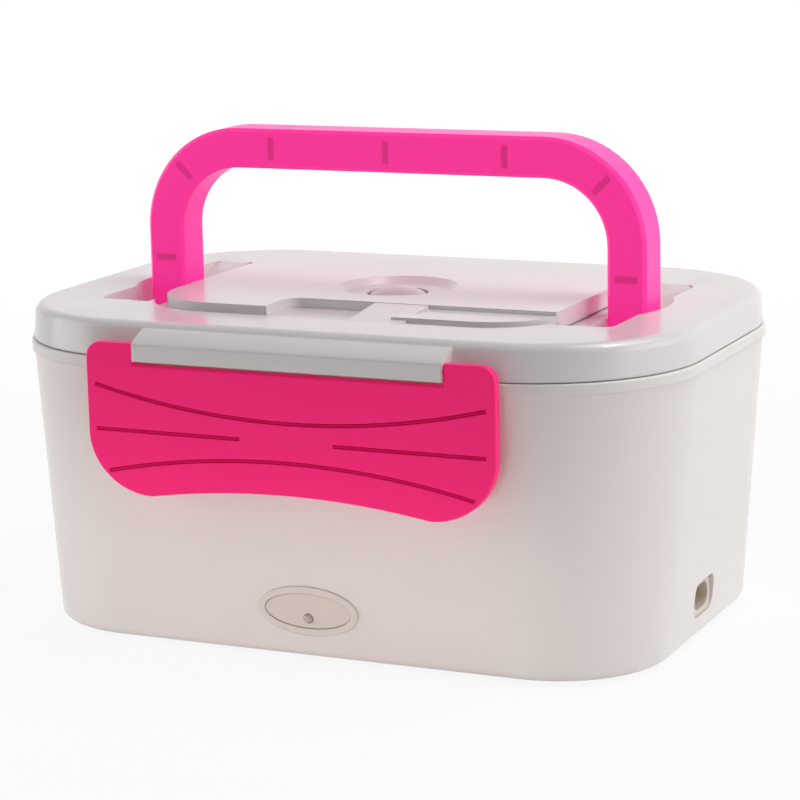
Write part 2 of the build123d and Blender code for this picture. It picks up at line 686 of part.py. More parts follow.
# ---------------------------------------------------------------- tray and side box
def food_tray():
    """Deep tray: floor on the heating plate, rim over the liner's ledge."""
    bottom = cavity_outline(TRAY_BOTTOM_Z, -TRAY_PLAY)
    top = cavity_outline(TRAY_RIM_Z, -TRAY_PLAY)
    tray = frustum(bottom, TRAY_BOTTOM_Z, top, TRAY_RIM_Z)
    tray = round_edges(tray, TRAY_BOTTOM_Z, TRAY_EDGE_ROUND)
    tray += prism(grown(MOUTH, -TRAY_RIM_PLAY), TRAY_RIM_Z, TRAY_TOP_Z)
    floor_z = TRAY_BOTTOM_Z + TRAY_WALL
    low = grown(cavity_outline(floor_z, -TRAY_PLAY), -TRAY_WALL)
    high = grown(cavity_outline(TRAY_TOP_Z, -TRAY_PLAY), -TRAY_WALL)
    hollow = frustum(low, floor_z, high, TRAY_TOP_Z)
    return tray - round_edges(hollow, floor_z, TRAY_EDGE_ROUND - TRAY_WALL)


SIDE_BOX_Z = TRAY_BOTTOM_Z + TRAY_WALL + SEAT
SIDE_BOX_TOP_Z = SIDE_BOX_Z + SIDE_BOX_HEIGHT


def side_dish_box():
    """Small open box that stands on the tray's floor at the right end."""
    walls = frustum(SIDE_BOX_BOTTOM, SIDE_BOX_Z, SIDE_BOX_TOP, SIDE_BOX_TOP_Z)
    walls = round_edges(walls, SIDE_BOX_Z, SIDE_BOX_WALL * 2)
    floor_z = SIDE_BOX_Z + SIDE_BOX_WALL
    hollow = frustum(grown(SIDE_BOX_BOTTOM, -SIDE_BOX_WALL), floor_z,
                     grown(SIDE_BOX_TOP, -SIDE_BOX_WALL), SIDE_BOX_TOP_Z)
    return Pos(SIDE_BOX_X, 0, 0) * (walls - hollow)


def side_dish_lid():
    """Flat lid with a rounded edge and a plug ring that goes into the box."""
    low = SIDE_BOX_TOP_Z + SEAT
    lid = prism(grown(SIDE_BOX_TOP, SIDE_LID_OVERHANG), low, low + SIDE_LID_THICK)
    lid = round_edges(lid, low + SIDE_LID_THICK, SIDE_LID_THICK / 2)
    ring_z = low - SIDE_LID_PLUG
    room = between(SIDE_BOX_BOTTOM, SIDE_BOX_Z, SIDE_BOX_TOP, SIDE_BOX_TOP_Z, ring_z)
    ring = grown(room, -SIDE_BOX_WALL - SIDE_LID_PLAY)
    lid += prism(ring, ring_z, low) - prism(grown(ring, -SIDE_BOX_WALL), ring_z, low)
    return Pos(SIDE_BOX_X, 0, 0) * lid


# ---------------------------------------------------------------- lid
def pocket_ramp(fold, clear, level):
    """Y where the folded leg's underside, moved down by a clearance, crosses a level."""
    reach = HANDLE_DEPTH / 2 + clear
    along = (level - PIVOT_Z + reach * sin(fold)) / cos(fold)
    return along * sin(fold) + reach * cos(fold)


def pocket(grow):
    """Room for one handle leg (right side): a flat floor between two fold ramps."""
    fold = radians(FOLD_ANGLE)
    floor_z, top_z = POCKET_FLOOR_Z - grow, LID_TOP_Z + 1
    y_top = pocket_ramp(fold, FOLD_CLEARANCE + grow, top_z)
    y_low = pocket_ramp(fold, FOLD_CLEARANCE + grow, floor_z)
    ramps = [(-y_top, top_z), (-y_low, floor_z), (y_low, floor_z), (y_top, top_z)]
    x_from = POCKET_INNER_X - grow
    x_to = HANDLE_OUTER + POCKET_PLAY + grow
    half = pocket_ramp(fold, FOLD_CLEARANCE, LID_TOP_Z) + POCKET_PLAY + grow
    plan = Pos((x_from + x_to) / 2, 0) * Rectangle(x_to - x_from, 2 * half)
    plan = fillet(plan.vertices().sort_by(Axis.X)[-2:], POCKET_CORNER)
    bulge = Pos(POCKET_BULGE_X, 0) * Circle(POCKET_BULGE_RADIUS + grow)
    bulge -= Pos(x_from - 50, 0) * Rectangle(100, 4 * half)
    plan += bulge
    prism_room = extrude(Pos(0, 0, floor_z) * plan, top_z - floor_z)
    return prism_room & side_prism(ramps, x_from, x_from + 60)


def hinge_bar():
    """White bar along the front skirt that carries a latch."""
    face = -(LATCH_AXIS_Y + BAR_PROUD)
    inside = -LID_TOP[1] / 2 + LID_EDGE_ROUND
    skirt = -LID_SKIRT[1] / 2
    profile = [(inside, BAR_BOTTOM_Z), (face, BAR_BOTTOM_Z), (face, BAR_FACE_TOP_Z),
               (face + 1.2, BAR_FACE_TOP_Z + 1.2), (skirt + 1, BAR_TOP_Z), (inside, BAR_TOP_Z)]
    bar = side_prism(profile, -BAR_HALF, BAR_HALF)
    for sx in (-1, 1):
        end = sx * BAR_HALF
        deep = end - sx * (LATCH_PIN_LENGTH + LATCH_END_PLAY)
        bar -= rod(LATCH_PIN_RADIUS + LATCH_PIN_PLAY, (end, -LATCH_AXIS_Y, LATCH_AXIS_Z),
                   (deep, -LATCH_AXIS_Y, LATCH_AXIS_Z))
    return bar


def lid_shell():
    """Lid moulding: skirt, rim, sunk middle with the cutlery bay, leg pockets and bars."""
    lid = frustum(LID_SKIRT, SKIRT_Z, LID_TOP, LID_TOP_Z)
    lid = round_edges(lid, LID_TOP_Z, LID_EDGE_ROUND)
    turned = Rot(0, 0, 180)
    lid += hinge_bar()
    lid += turned * hinge_bar()
    roof = between(LID_SKIRT, SKIRT_Z, LID_TOP, LID_TOP_Z, LID_ROOF_Z)
    lid -= frustum(grown(LID_SKIRT, -LID_WALL), SKIRT_Z, grown(roof, -LID_WALL - 1), LID_ROOF_Z)
    lid += prism(grown(RECESS, DECK_THICK), RECESS_Z - DECK_THICK, LID_ROOF_Z)
    lid += prism(grown(BAY, BAY_WALL), BAY_FLOOR_Z - BAY_WALL, RECESS_Z)
    lid += pocket(POCKET_WALL) & prism(LID_TOP, 0, LID_ROOF_Z)
    lid += turned * (pocket(POCKET_WALL) & prism(LID_TOP, 0, LID_ROOF_Z))
    for sx in (-1, 1):
        x_from, x_to = sorted((sx * BAY[0] / 2, sx * POCKET_INNER_X))
        lid += box(x_from, x_to, -ROOT_RADIUS - 1, ROOT_RADIUS + 1, BAY_FLOOR_Z - BAY_WALL, RECESS_Z)
    lid -= prism(RECESS, RECESS_Z, LID_TOP_Z + 1)
    for side in (Rot(0, 0, 0), turned):
        lid -= side * pocket(0)
        lid -= side * box(RECESS[0] / 2 - 2, POCKET_INNER_X + 1, -pocket_half(), pocket_half(),
                          RECESS_Z, LID_TOP_Z + 1)
        lid -= side * rod(PEG_RADIUS + PEG_PLAY, (HANDLE_INNER, 0, PIVOT_Z),
                          (HANDLE_INNER - PEG_LENGTH - PEG_WALL_GAP, 0, PIVOT_Z))
    lid += prism(grown(BAY, BAY_WALL), RECESS_Z, RECESS_Z + COLLAR_HEIGHT)
    lid -= prism(BAY, BAY_FLOOR_Z, LID_TOP_Z)
    lid += rod(VENT_BOSS_RADIUS, (0, 0, BAY_FLOOR_Z), (0, 0, VENT_TOP_Z))
    return lid - rod(VENT_BORE_RADIUS, (0, 0, 0), (0, 0, LID_TOP_Z))


def pocket_half():
    return pocket_ramp(radians(FOLD_ANGLE), FOLD_CLEARANCE, LID_TOP_Z) + POCKET_PLAY


def seal_outer():
    return grown(SEAL_INNER, SEAL_WIDTH)


def seal_ring():
    ring = prism(seal_outer(), SEAL_UNDER_Z, SEAL_TOP_Z)
    ring -= prism(SEAL_INNER, SEAL_UNDER_Z, SEAL_TOP_Z)
    return round_edges(ring, SEAL_UNDER_Z, SEAL_WIDTH / 3)


def lid_liner():
    """Inner lid: plate, downward channel for the seal, wall that clips up under the roof."""
    channel_top = SEAL_TOP_Z + INNER_LID_WALL
    inner = grown(SEAL_INNER, -SEAL_PLAY)
    outer = grown(seal_outer(), SEAL_PLAY + INNER_LID_WALL)
    liner = prism(inner, INNER_LID_Z, LID_ROOF_Z) + prism(outer, INNER_LID_Z, channel_top)
    channel = prism(grown(outer, -INNER_LID_WALL), INNER_LID_Z, SEAL_TOP_Z)
    liner -= channel - prism(inner, INNER_LID_Z, SEAL_TOP_Z)
    liner -= prism(grown(inner, -INNER_LID_WALL), INNER_LID_Z + INNER_LID_THICK, LID_ROOF_Z)
    bay_under = BAY_FLOOR_Z - BAY_WALL
    liner += rod(VENT_BOSS_RADIUS, (0, 0, INNER_LID_Z), (0, 0, bay_under))
    return liner - rod(VENT_BORE_RADIUS, (0, 0, 0), (0, 0, bay_under))


def cutlery_cover():
    """Raised panel: plateau, two terraces half a turn apart, centre dish, snap tongues."""
    block = prism(PANEL, PANEL_SKIRT_Z, PANEL_TOP_Z)
    hollow = prism(grown(PANEL, -PANEL_WALL), PANEL_SKIRT_Z, PANEL_TOP_Z - PANEL_ROOF)
    for side in (Rot(0, 0, 0), Rot(0, 0, 180)):
        block -= side * terrace(0, TERRACE_Z, PANEL_TOP_Z)
        hollow -= side * terrace(PANEL_ROOF, TERRACE_Z - PANEL_ROOF, PANEL_TOP_Z)
    dish_under = DISH_Z - PANEL_ROOF
    hollow -= rod(DISH_RADIUS + PANEL_ROOF, (0, 0, dish_under), (0, 0, PANEL_TOP_Z))
    cover = block - hollow
    bowl = Pos(0, 0, (DISH_Z + PANEL_TOP_Z) / 2) * Cone(DISH_RADIUS - DISH_SLOPE, DISH_RADIUS,
                                                       PANEL_TOP_Z - DISH_Z)
    cover -= bowl
    for side in (Rot(0, 0, 0), Rot(0, 0, 180)):
        cover += side * tongue()
    return cover - rod(PLUG_RADIUS + PLUG_HOLE_PLAY, (0, 0, PANEL_SKIRT_Z), (0, 0, PANEL_TOP_Z))


def terrace(grow, z_from, z_to):
    """The lower step in the front right of the panel."""
    x_from, x_to = TERRACE_FROM_X - grow, PANEL[0] / 2 + 10
    y_from, y_to = -PANEL[1] / 2 - 10, -TERRACE_Y + grow
    plan = Pos((x_from + x_to) / 2, (y_from + y_to) / 2) * Rectangle(x_to - x_from, y_to - y_from)
    inner_corner = plan.vertices().sort_by(Axis.Y)[-2:].sort_by(Axis.X)[0]
    plan = fillet(inner_corner, TERRACE_CORNER)
    return extrude(Pos(0, 0, z_from) * plan, z_to - z_from)


def tongue():
    """Sloping snap tab from the plateau across the terrace to the lid's rim."""
    front = -PANEL[1] / 2 - TONGUE_REACH
    step = -TERRACE_Y + 1
    low_z = LID_TOP_Z - SEAT
    ramp = [(step, PANEL_TOP_Z), (front, low_z), (front, low_z - PANEL_ROOF),
            (-PANEL[1] / 2, low_z - PANEL_ROOF), (-PANEL[1] / 2, TERRACE_Z - 1),
            (step, TERRACE_Z - 1)]
    return side_prism(ramp, TONGUE_X - TONGUE_WIDTH / 2, TONGUE_X + TONGUE_WIDTH / 2)


def vent_plug():
    """Soft plug: stem in the vent, head with a domed top."""
    head_z = VENT_TOP_Z + SEAT
    stem = rod(VENT_BORE_RADIUS - PLUG_STEM_PLAY, (0, 0, VENT_TOP_Z - PLUG_STEM), (0, 0, head_z))
    edge = rod(PLUG_RADIUS, (0, 0, head_z), (0, 0, head_z + PLUG_EDGE))
    ball_radius = (PLUG_RADIUS ** 2 + PLUG_DOME ** 2) / (2 * PLUG_DOME)
    ball = Pos(0, 0, head_z + PLUG_EDGE + PLUG_DOME - ball_radius) * Sphere(ball_radius)
    dome = ball & rod(PLUG_RADIUS, (0, 0, head_z + PLUG_EDGE), (0, 0, head_z + PLUG_EDGE + PLUG_DOME + 1))
    return stem + edge + dome


def spoon():
    """Spoon lying in the bay: a shallow oval bowl and a flat handle."""
    low = BAY_FLOOR_Z + SEAT
    length, width = SPOON_BOWL
    bowl_x = SPOON_LENGTH / 2 - length / 2
    outside = Pos(bowl_x, 0, low + SPOON_BOWL_DEPTH) * oval_bowl(0)
    inside = Pos(bowl_x, 0, low + SPOON_BOWL_DEPTH) * oval_bowl(SPOON_THICK)
    neck = box(-SPOON_LENGTH / 2, bowl_x, -SPOON_HANDLE_WIDTH / 2, SPOON_HANDLE_WIDTH / 2,
               low + SPOON_BOWL_DEPTH - SPOON_THICK, low + SPOON_BOWL_DEPTH)
    neck = fillet(neck.edges().filter_by(Axis.Z).sort_by(Axis.X)[:2], SPOON_HANDLE_WIDTH / 3)
    return Pos(0, SPOON_Y, 0) * (outside + neck - inside)


def oval_bowl(inset):
    """Lower half of a flattened bowl, hanging from its rim at Z = 0."""
    length, width = SPOON_BOWL
    depth = SPOON_BOWL_DEPTH - inset
    rim = Ellipse(length / 2 - inset, width / 2 - inset)
    base = Pos(0, 0, -depth) * Ellipse((length / 2 - inset) * 0.6, (width / 2 - inset) * 0.6)
    return loft([base.face(), rim.face()])


# ---------------------------------------------------------------- handle
def handle_plan(inset):
    """U-shaped band in the XZ plane, each side moved in by a distance."""
    outer_half, inner_half = HANDLE_OUTER - inset, HANDLE_INNER + inset
    outer_top, inner_top = HANDLE_TOP_Z - inset, HANDLE_TOP_Z - HANDLE_BAND + inset
    low = PIVOT_Z - ROOT_RADIUS
    outer_round = HANDLE_INNER_ROUND + HANDLE_BAND - inset
    outside = arch(outer_half, low, outer_top, outer_round)
    inside = arch(inner_half, low - 1, inner_top, HANDLE_INNER_ROUND + inset)
    return outside - inside


def arch(half, low, top, corner):
    """Filled arch: straight sides and two round upper corners."""
    plan = Pos(0, (low + top) / 2) * Rectangle(2 * half, top - low)
    return fillet(plan.vertices().sort_by(Axis.Y)[-2:], corner)


def leg_profile():
    """The handle seen from the side: full depth above, narrowing to the round root."""
    half = HANDLE_DEPTH / 2
    reach = HANDLE_OUTER + 1
    neck = side_prism([(-half, HANDLE_TOP_Z), (-half, NECK_Z), (-ROOT_RADIUS, PIVOT_Z),
                       (ROOT_RADIUS, PIVOT_Z), (half, NECK_Z), (half, HANDLE_TOP_Z)], -reach, reach)
    return neck + rod(ROOT_RADIUS, (-reach, 0, PIVOT_Z), (reach, 0, PIVOT_Z))


def handle_ribs():
    """Cross ribs inside the channel: three in the bar, one in each corner and leg."""
    places = [(i * RIB_SPACING, HANDLE_TOP_Z - HANDLE_BAND / 2, 0) for i in (-1, 0, 1)]
    corner = HANDLE_INNER - HANDLE_INNER_ROUND
    arc = HANDLE_INNER_ROUND + HANDLE_BAND / 2
    centre_z = HANDLE_TOP_Z - HANDLE_BAND - HANDLE_INNER_ROUND
    for side in (-1, 1):
        places.append((side * (corner + arc * cos(radians(45))), centre_z + arc * sin(radians(45)),
                       side * 45))
        places.append((side * (HANDLE_INNER + HANDLE_BAND / 2), LEG_RIB_Z, 90))
    return places


def handle():
    """U handle: a channel open at the back with cross ribs, and a peg on each leg."""
    half = HANDLE_DEPTH / 2
    front = Plane.XZ.offset(half)
    bow = extrude(front * handle_plan(0), -HANDLE_DEPTH)
    rims = [e for e in bow.edges() if e.bounding_box().size.Y < 1e-3
            and e.bounding_box().max.Z > PIVOT_Z]
    bow = chamfer(rims, HANDLE_CHAMFER)
    inner_face = Plane.XZ.offset(half - HANDLE_WALL)
    channel = extrude(inner_face * handle_plan(HANDLE_WALL), -HANDLE_DEPTH)
    channel -= box(-100, 100, -half, half, 0, ROOT_SOLID_Z)
    for x, z, turn in handle_ribs():
        rib = Box(RIB_THICK, HANDLE_DEPTH, HANDLE_BAND)
        channel -= Pos(x, 0, z) * Rot(0, turn, 0) * rib
    bow -= channel
    mark_wide, mark_tall, mark_deep = RIB_MARK
    for x, z, turn in handle_ribs():
        bow -= Pos(x, -half, z) * Rot(0, turn, 0) * Box(mark_wide, 2 * mark_deep, mark_tall)
    bow &= leg_profile()
    for side in (-1, 1):
        bow += rod(PEG_RADIUS, (side * (HANDLE_INNER + 1), 0, PIVOT_Z),
                   (side * (HANDLE_INNER - PEG_LENGTH), 0, PIVOT_Z))
    return bow


# ---------------------------------------------------------------- latches
def latch_plan():
    """Flap seen from the front: two ears, round lower corners, hollow lower edge."""
    ear = BAR_HALF + LATCH_END_PLAY
    lobe, half, side_z = LATCH_LOBE_X, LATCH_HALF, LATCH_LOBE_Z + LATCH_BOTTOM_ROUND
    right = [Line((0, LATCH_MIDDLE_TOP_Z), (ear, LATCH_MIDDLE_TOP_Z)),
             Line((ear, LATCH_MIDDLE_TOP_Z), (ear, LATCH_TOP_Z)),
             Line((ear, LATCH_TOP_Z), (half - LATCH_CORNER, LATCH_TOP_Z)),
             JernArc((half - LATCH_CORNER, LATCH_TOP_Z), (1, 0), LATCH_CORNER, -90),
             Line((half, LATCH_TOP_Z - LATCH_CORNER), (half, side_z)),
             EllipticalCenterArc((lobe, side_z), half - lobe, LATCH_BOTTOM_ROUND, -90, arc_size=90)]
    left = [edge.mirror(Plane.YZ) for edge in right]
    hollow = ThreePointArc((lobe, LATCH_LOBE_Z), (0, LATCH_MIDDLE_Z), (-lobe, LATCH_LOBE_Z))
    return make_face(Curve() + right + left + hollow)


def latch_grooves():
    """Bow-tie grooves: two bowed lines and a pair of short straight ones."""
    reach = LATCH_HALF - 3
    middle = LATCH_MIDDLE_TOP_Z - 21
    lines = [ThreePointArc((-reach, middle + 14.5), (0, middle + 6), (reach, middle + 14.5)),
             ThreePointArc((-reach + 4, middle - 13.5), (0, middle - 6.5), (reach - 4, middle - 13.5)),
             Line((-reach, middle), (-16, middle)), Line((16, middle), (reach, middle))]
    return [trace(line, GROOVE_WIDTH) for line in lines]


def front_latch():
    """Flap latch on two pins, with a bead across its back just below the rim band."""
    back = LATCH_AXIS_Y - LATCH_THICK / 2
    flap = extrude(Plane.XZ.offset(back) * latch_plan(), LATCH_THICK)
    face_y = -(back + LATCH_THICK)
    rims = [e for e in flap.edges() if abs(e.bounding_box().min.Y - face_y) < 1e-3
            and abs(e.bounding_box().max.Y - face_y) < 1e-3]
    flap = fillet(rims, LATCH_EDGE)
    for groove in latch_grooves():
        flap -= extrude(Plane.XZ.offset(-face_y) * groove, -GROOVE_DEPTH)
    band_face = body_outline(BODY_TOP_Z)[1] / 2 + BAND_STEP
    bead_top = BODY_TOP_Z - BEAD_GAP
    flap += box(-BEAD_HALF, BEAD_HALF, -back - 0.5, -(band_face + BEAD_GAP), bead_top - BEAD_HEIGHT,
                bead_top)
    for side in (-1, 1):
        root = side * (BAR_HALF + LATCH_END_PLAY)
        flap += rod(LATCH_PIN_RADIUS, (root + side, -LATCH_AXIS_Y, LATCH_AXIS_Z),
                    (root - side * LATCH_PIN_LENGTH, -LATCH_AXIS_Y, LATCH_AXIS_Z))
    return flap


def rear_latch():
    return Rot(0, 0, 180) * front_latch()


# ---------------------------------------------------------------- write the pieces
PIECES = {
    "outer_body": outer_body,
    "inner_liner": inner_liner,
    "bottom_cover": bottom_cover,
    "bottom_screws": bottom_screws,
    "rubber_feet": rubber_feet,
    "heating_plate": heating_plate,
    "plate_gasket": plate_gasket,
    "ptc_heater": ptc_heater,
    "heater_clamp": heater_clamp,
    "clamp_screws": clamp_screws,
    "thermostat": thermostat,
    "thermal_fuse": thermal_fuse,
    "power_inlet": power_inlet,
    "inlet_pins": inlet_pins,
    "indicator_bezel": indicator_bezel,
    "indicator_lens": indicator_lens,
    "indicator_led": indicator_led,
    "led_board": led_board,
    "live_wire": live_wire,
    "bridge_wire": bridge_wire,
    "heater_wire": heater_wire,
    "neutral_wire": neutral_wire,
    "led_wires": led_wires,
    "food_tray": food_tray,
    "side_dish_box": side_dish_box,
    "side_dish_lid": side_dish_lid,
    "lid_shell": lid_shell,
    "lid_liner": lid_liner,
    "seal_ring": seal_ring,
    "cutlery_cover": cutlery_cover,
    "vent_plug": vent_plug,
    "spoon": spoon,
    "handle": handle,
    "front_latch": front_latch,
    "rear_latch": rear_latch,
}


def main():
    os.makedirs("parts", exist_ok=True)
    for name, make in PIECES.items():
        export_step(make(), f"parts/{name}.step")


main()
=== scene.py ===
# %% [markdown]
# # An electric lunch box, dressed from its CAD model
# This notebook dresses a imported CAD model: a white tapered box with a heated tray, a lift-off lid, two pink
# flap latches and a pink carrying handle. The CAD model gives every hard shape and every moving body. Here
# each surface gets its finish, the soft edges of moulded plastic are added, and the camera and studio are
# set up.

# %% Load the frame
import json
import math
import bmesh
import bpy
from mathutils import Matrix, Vector


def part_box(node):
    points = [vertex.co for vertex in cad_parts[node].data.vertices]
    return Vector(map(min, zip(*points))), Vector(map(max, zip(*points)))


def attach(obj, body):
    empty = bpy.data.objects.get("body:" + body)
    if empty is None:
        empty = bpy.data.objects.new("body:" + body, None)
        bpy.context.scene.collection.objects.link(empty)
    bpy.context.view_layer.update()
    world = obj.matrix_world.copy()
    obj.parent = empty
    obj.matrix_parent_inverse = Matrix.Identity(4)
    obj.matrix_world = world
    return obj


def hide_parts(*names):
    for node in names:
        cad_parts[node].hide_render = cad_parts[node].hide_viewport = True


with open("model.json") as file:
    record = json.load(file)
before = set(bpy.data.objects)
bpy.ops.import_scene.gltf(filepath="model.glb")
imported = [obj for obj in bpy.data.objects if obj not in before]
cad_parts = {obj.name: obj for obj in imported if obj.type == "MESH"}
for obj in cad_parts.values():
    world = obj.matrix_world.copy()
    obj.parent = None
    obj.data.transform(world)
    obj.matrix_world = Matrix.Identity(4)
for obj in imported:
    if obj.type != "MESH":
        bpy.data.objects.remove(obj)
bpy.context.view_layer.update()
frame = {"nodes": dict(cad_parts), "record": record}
nodes = frame["nodes"]

# %% [markdown]
# ## Camera
# The camera stands where the photographer's did: to the right of the front and a little above, about 0.92 m
# away with a long lens, so that the far end is only slightly smaller than the near one. It is placed by a
# distance, two angles and a small roll, because those are easy to adjust by eye.

# %% Place the camera
AIM = Vector((-0.0001, 0.0001, 0.0705))
DISTANCE = 0.9216
TURN, RISE, ROLL = math.radians(24.565), math.radians(11.793), math.radians(-1.223)
FOCAL_LENGTH, SENSOR = 123.465, 36.0    # millimetres, the rest is in metres
NEAREST = 0.05

towards = Vector((-math.sin(TURN) * math.cos(RISE), math.cos(TURN) * math.cos(RISE), -math.sin(RISE)))
side = towards.cross(Vector((0, 0, 1))).normalized()
above = side.cross(towards)
side_rolled = side * math.cos(ROLL) + above * math.sin(ROLL)
above_rolled = above * math.cos(ROLL) - side * math.sin(ROLL)

camera_data = bpy.data.cameras.new("camera")
camera_data.lens, camera_data.sensor_width = FOCAL_LENGTH, SENSOR
camera_data.clip_start = NEAREST
camera = bpy.data.objects.new("camera", camera_data)
bpy.context.scene.collection.objects.link(camera)
turned = Matrix((side_rolled, above_rolled, -towards)).transposed().to_4x4()
camera.matrix_world = Matrix.Translation(AIM - towards * DISTANCE) @ turned
bpy.context.scene.camera = camera
print("camera at", [round(v, 3) for v in camera.matrix_world.translation])

# %% [markdown]
# ## Studio
# The photograph is a plain product shot on white. A soft lamp hangs high on the right and a little behind,
# so the lid is bright, the front wall is darker, and the rounded rim catches a highlight. A lamp from the
# right fills the right end, a weaker one from the left opens the left corner, and one behind keeps the back
# readable. A low one stands in for light that white paper throws back up, which is why the front wall is
# brightest near the floor. A small one gives no light, only a glint on the cover. Each lamp is told its
# place, the spot it points at, its size and its power in watts.

# %% Studio lamps
def area_lamp(name, place, aim, size, power, tint=(1, 1, 1), mirrored=True, lights=True):
    """A soft lamp that points at a spot; it may give only light, or only a reflection."""
    data = bpy.data.lights.new(name, "AREA")
    data.shape, data.energy, data.color = "RECTANGLE", power, tint
    data.size, data.size_y = size
    lamp = bpy.data.objects.new(name, data)
    lamp.location = place
    lamp.rotation_euler = (Vector(aim) - Vector(place)).to_track_quat("-Z", "Y").to_euler()
    lamp.visible_camera = False
    lamp.visible_glossy = mirrored
    lamp.visible_diffuse = lights
    bpy.context.scene.collection.objects.link(lamp)
    print(name, "at", place, "power", power)
    return lamp


area_lamp("lamp_high", (0.42, 0.20, 1.00), (0, 0, 0.08), (0.6, 0.6), 4.6)
area_lamp("lamp_right", (1.20, 0.10, 0.42), (0.1, 0, 0.05), (1.1, 0.7), 6.2)
area_lamp("lamp_left", (-1.05, -0.36, 0.42), (-0.08, 0, 0.05), (0.8, 0.7), 4.0)
area_lamp("lamp_back", (-0.45, 1.15, 0.60), (0, 0, 0.08), (1.0, 0.8), 4.6, mirrored=False)
lamp_low = area_lamp("lamp_low", (-0.04, -0.16, 0.012), (-0.04, -0.08, -0.005), (0.32, 0.02), 0.074,
                     tint=(1, 0.95, 0.92), mirrored=False)
area_lamp("lamp_glint", (0.50, 0.08, 1.04), (0.08, -0.06, 0.105), (0.16, 0.10), 1.6, lights=False)

# %% [markdown]
# ## Backdrop
# Paper in such a picture is lit until it is plain white. Here the room and the far floor are plain white
# for the camera and for reflections, and dim for everything else, so that they don't light the box too
# much. Close to the box some of the floor's own shading stays, which keeps the soft shadow that the box
# stands in.

# %% Plain white for the camera
def white_for_camera(tree, shaded, share):
    """Mix a shaded look with a share of plain white, for camera rays, reflections and see-through rays."""
    links, new = tree.links, tree.nodes.new
    path, white, mix = new("ShaderNodeLightPath"), new("ShaderNodeEmission"), new("ShaderNodeMixShader")
    seen = path.outputs["Is Camera Ray"]
    for ray in ("Is Glossy Ray", "Is Transmission Ray"):
        either = new("ShaderNodeMath")
        either.operation = "MAXIMUM"
        links.new(seen, either.inputs[0])
        links.new(path.outputs[ray], either.inputs[1])
        seen = either.outputs[0]
    part = new("ShaderNodeMath")
    part.operation = "MULTIPLY"
    links.new(seen, part.inputs[0])
    if share is None:
        part.inputs[1].default_value = 1.0
    else:
        links.new(share, part.inputs[1])
    links.new(part.outputs[0], mix.inputs["Fac"])
    links.new(shaded, mix.inputs[1])
    links.new(white.outputs[0], mix.inputs[2])
    return mix.outputs[0]


print("backdrop helper ready")

# %% World
ROOM_TINT, ROOM_LIGHT = (1, 0.98, 0.97, 1), 0.19

world = bpy.data.worlds.new("studio")
world.use_nodes = True
bpy.context.scene.world = world
world_tree = world.node_tree
room = world_tree.nodes["Background"]
room.inputs["Color"].default_value = ROOM_TINT
room.inputs["Strength"].default_value = ROOM_LIGHT
seen_world = white_for_camera(world_tree, room.outputs[0], None)
world_tree.links.new(seen_world, world_tree.nodes["World Output"].inputs["Surface"])
print("room light:", ROOM_LIGHT)

# %% Floor
REACH, PAPER = 1.6, 0.84                   # half the floor's side, and how white its paper is
BACKDROP_FROM, BACKDROP_TO = 0.16, 0.75    # between these distances the floor fades into plain white
FLOOR_WHITE = 0.9                          # the share of plain white next to the box

floor_mesh = bpy.data.meshes.new("floor")
floor_corners = [(-REACH, -REACH, 0), (REACH, -REACH, 0), (REACH, REACH, 0), (-REACH, REACH, 0)]
floor_mesh.from_pydata(floor_corners, [], [(0, 1, 2, 3)])
floor = bpy.data.objects.new("floor", floor_mesh)
bpy.context.scene.collection.objects.link(floor)
print("floor's side in metres:", 2 * REACH)

# %% [markdown]
# The low lamp hangs just over the floor and would draw a bright line on it. Light linking leaves the floor
# out of what this lamp lights.

# %% Keep the low lamp off the floor
not_the_floor = bpy.data.collections.new("not_the_floor")
not_the_floor.objects.link(floor)
not_the_floor.collection_objects[0].light_linking.link_state = "EXCLUDE"
lamp_low.light_linking.receiver_collection = not_the_floor

# %% Floor finish
floor_finish = bpy.data.materials.new("floor_paper")
floor_finish.use_nodes = True
floor_tree = floor_finish.node_tree
floor_tree.nodes.remove(floor_tree.nodes["Principled BSDF"])
paper = floor_tree.nodes.new("ShaderNodeBsdfDiffuse")
paper.inputs["Color"].default_value = (PAPER, PAPER, PAPER, 1)
spot = floor_tree.nodes.new("ShaderNodeTexCoord")
far = floor_tree.nodes.new("ShaderNodeVectorMath")
far.operation = "LENGTH"
floor_tree.links.new(spot.outputs["Object"], far.inputs[0])
fade = floor_tree.nodes.new("ShaderNodeMapRange")
fade.interpolation_type = "SMOOTHSTEP"
fade.inputs["From Min"].default_value = BACKDROP_FROM
fade.inputs["From Max"].default_value = BACKDROP_TO
fade.inputs["To Min"].default_value = FLOOR_WHITE
fade.inputs["To Max"].default_value = 1.0
floor_tree.links.new(far.outputs["Value"], fade.inputs["Value"])
seen_floor = white_for_camera(floor_tree, paper.outputs[0], fade.outputs["Result"])
floor_tree.links.new(seen_floor, floor_tree.nodes["Material Output"].inputs["Surface"])
floor_mesh.materials.append(floor_finish)
bpy.context.scene.view_settings.view_transform = "Standard"
print("floor finish nodes:", len(floor_tree.nodes))

# %% [markdown]
# ## Moulded plastic
# Nearly all of the box is injection-moulded plastic. Such plastic has an even colour, a satin skin from the
# mould, and a very shallow waviness that bends its reflections. One helper builds that finish from four
# noises on object coordinates: one each for the colour's slight cloudiness, the waves, the gloss and the
# fine skin. A Bevel node rounds the edges in the shading, because no moulded edge is knife-sharp.

# %% Screen colours
def screen_colour(red, green, blue):
    """A colour as a picture shows it (0 to 255), turned into the light amounts that a shader wants."""
    def lin(v):
        v /= 255
        return v / 12.92 if v <= 0.04045 else ((v + 0.055) / 1.055) ** 2.4
    return (lin(red), lin(green), lin(blue), 1.0)


print("light amount of a middle grey:", round(screen_colour(128, 128, 128)[0], 3))

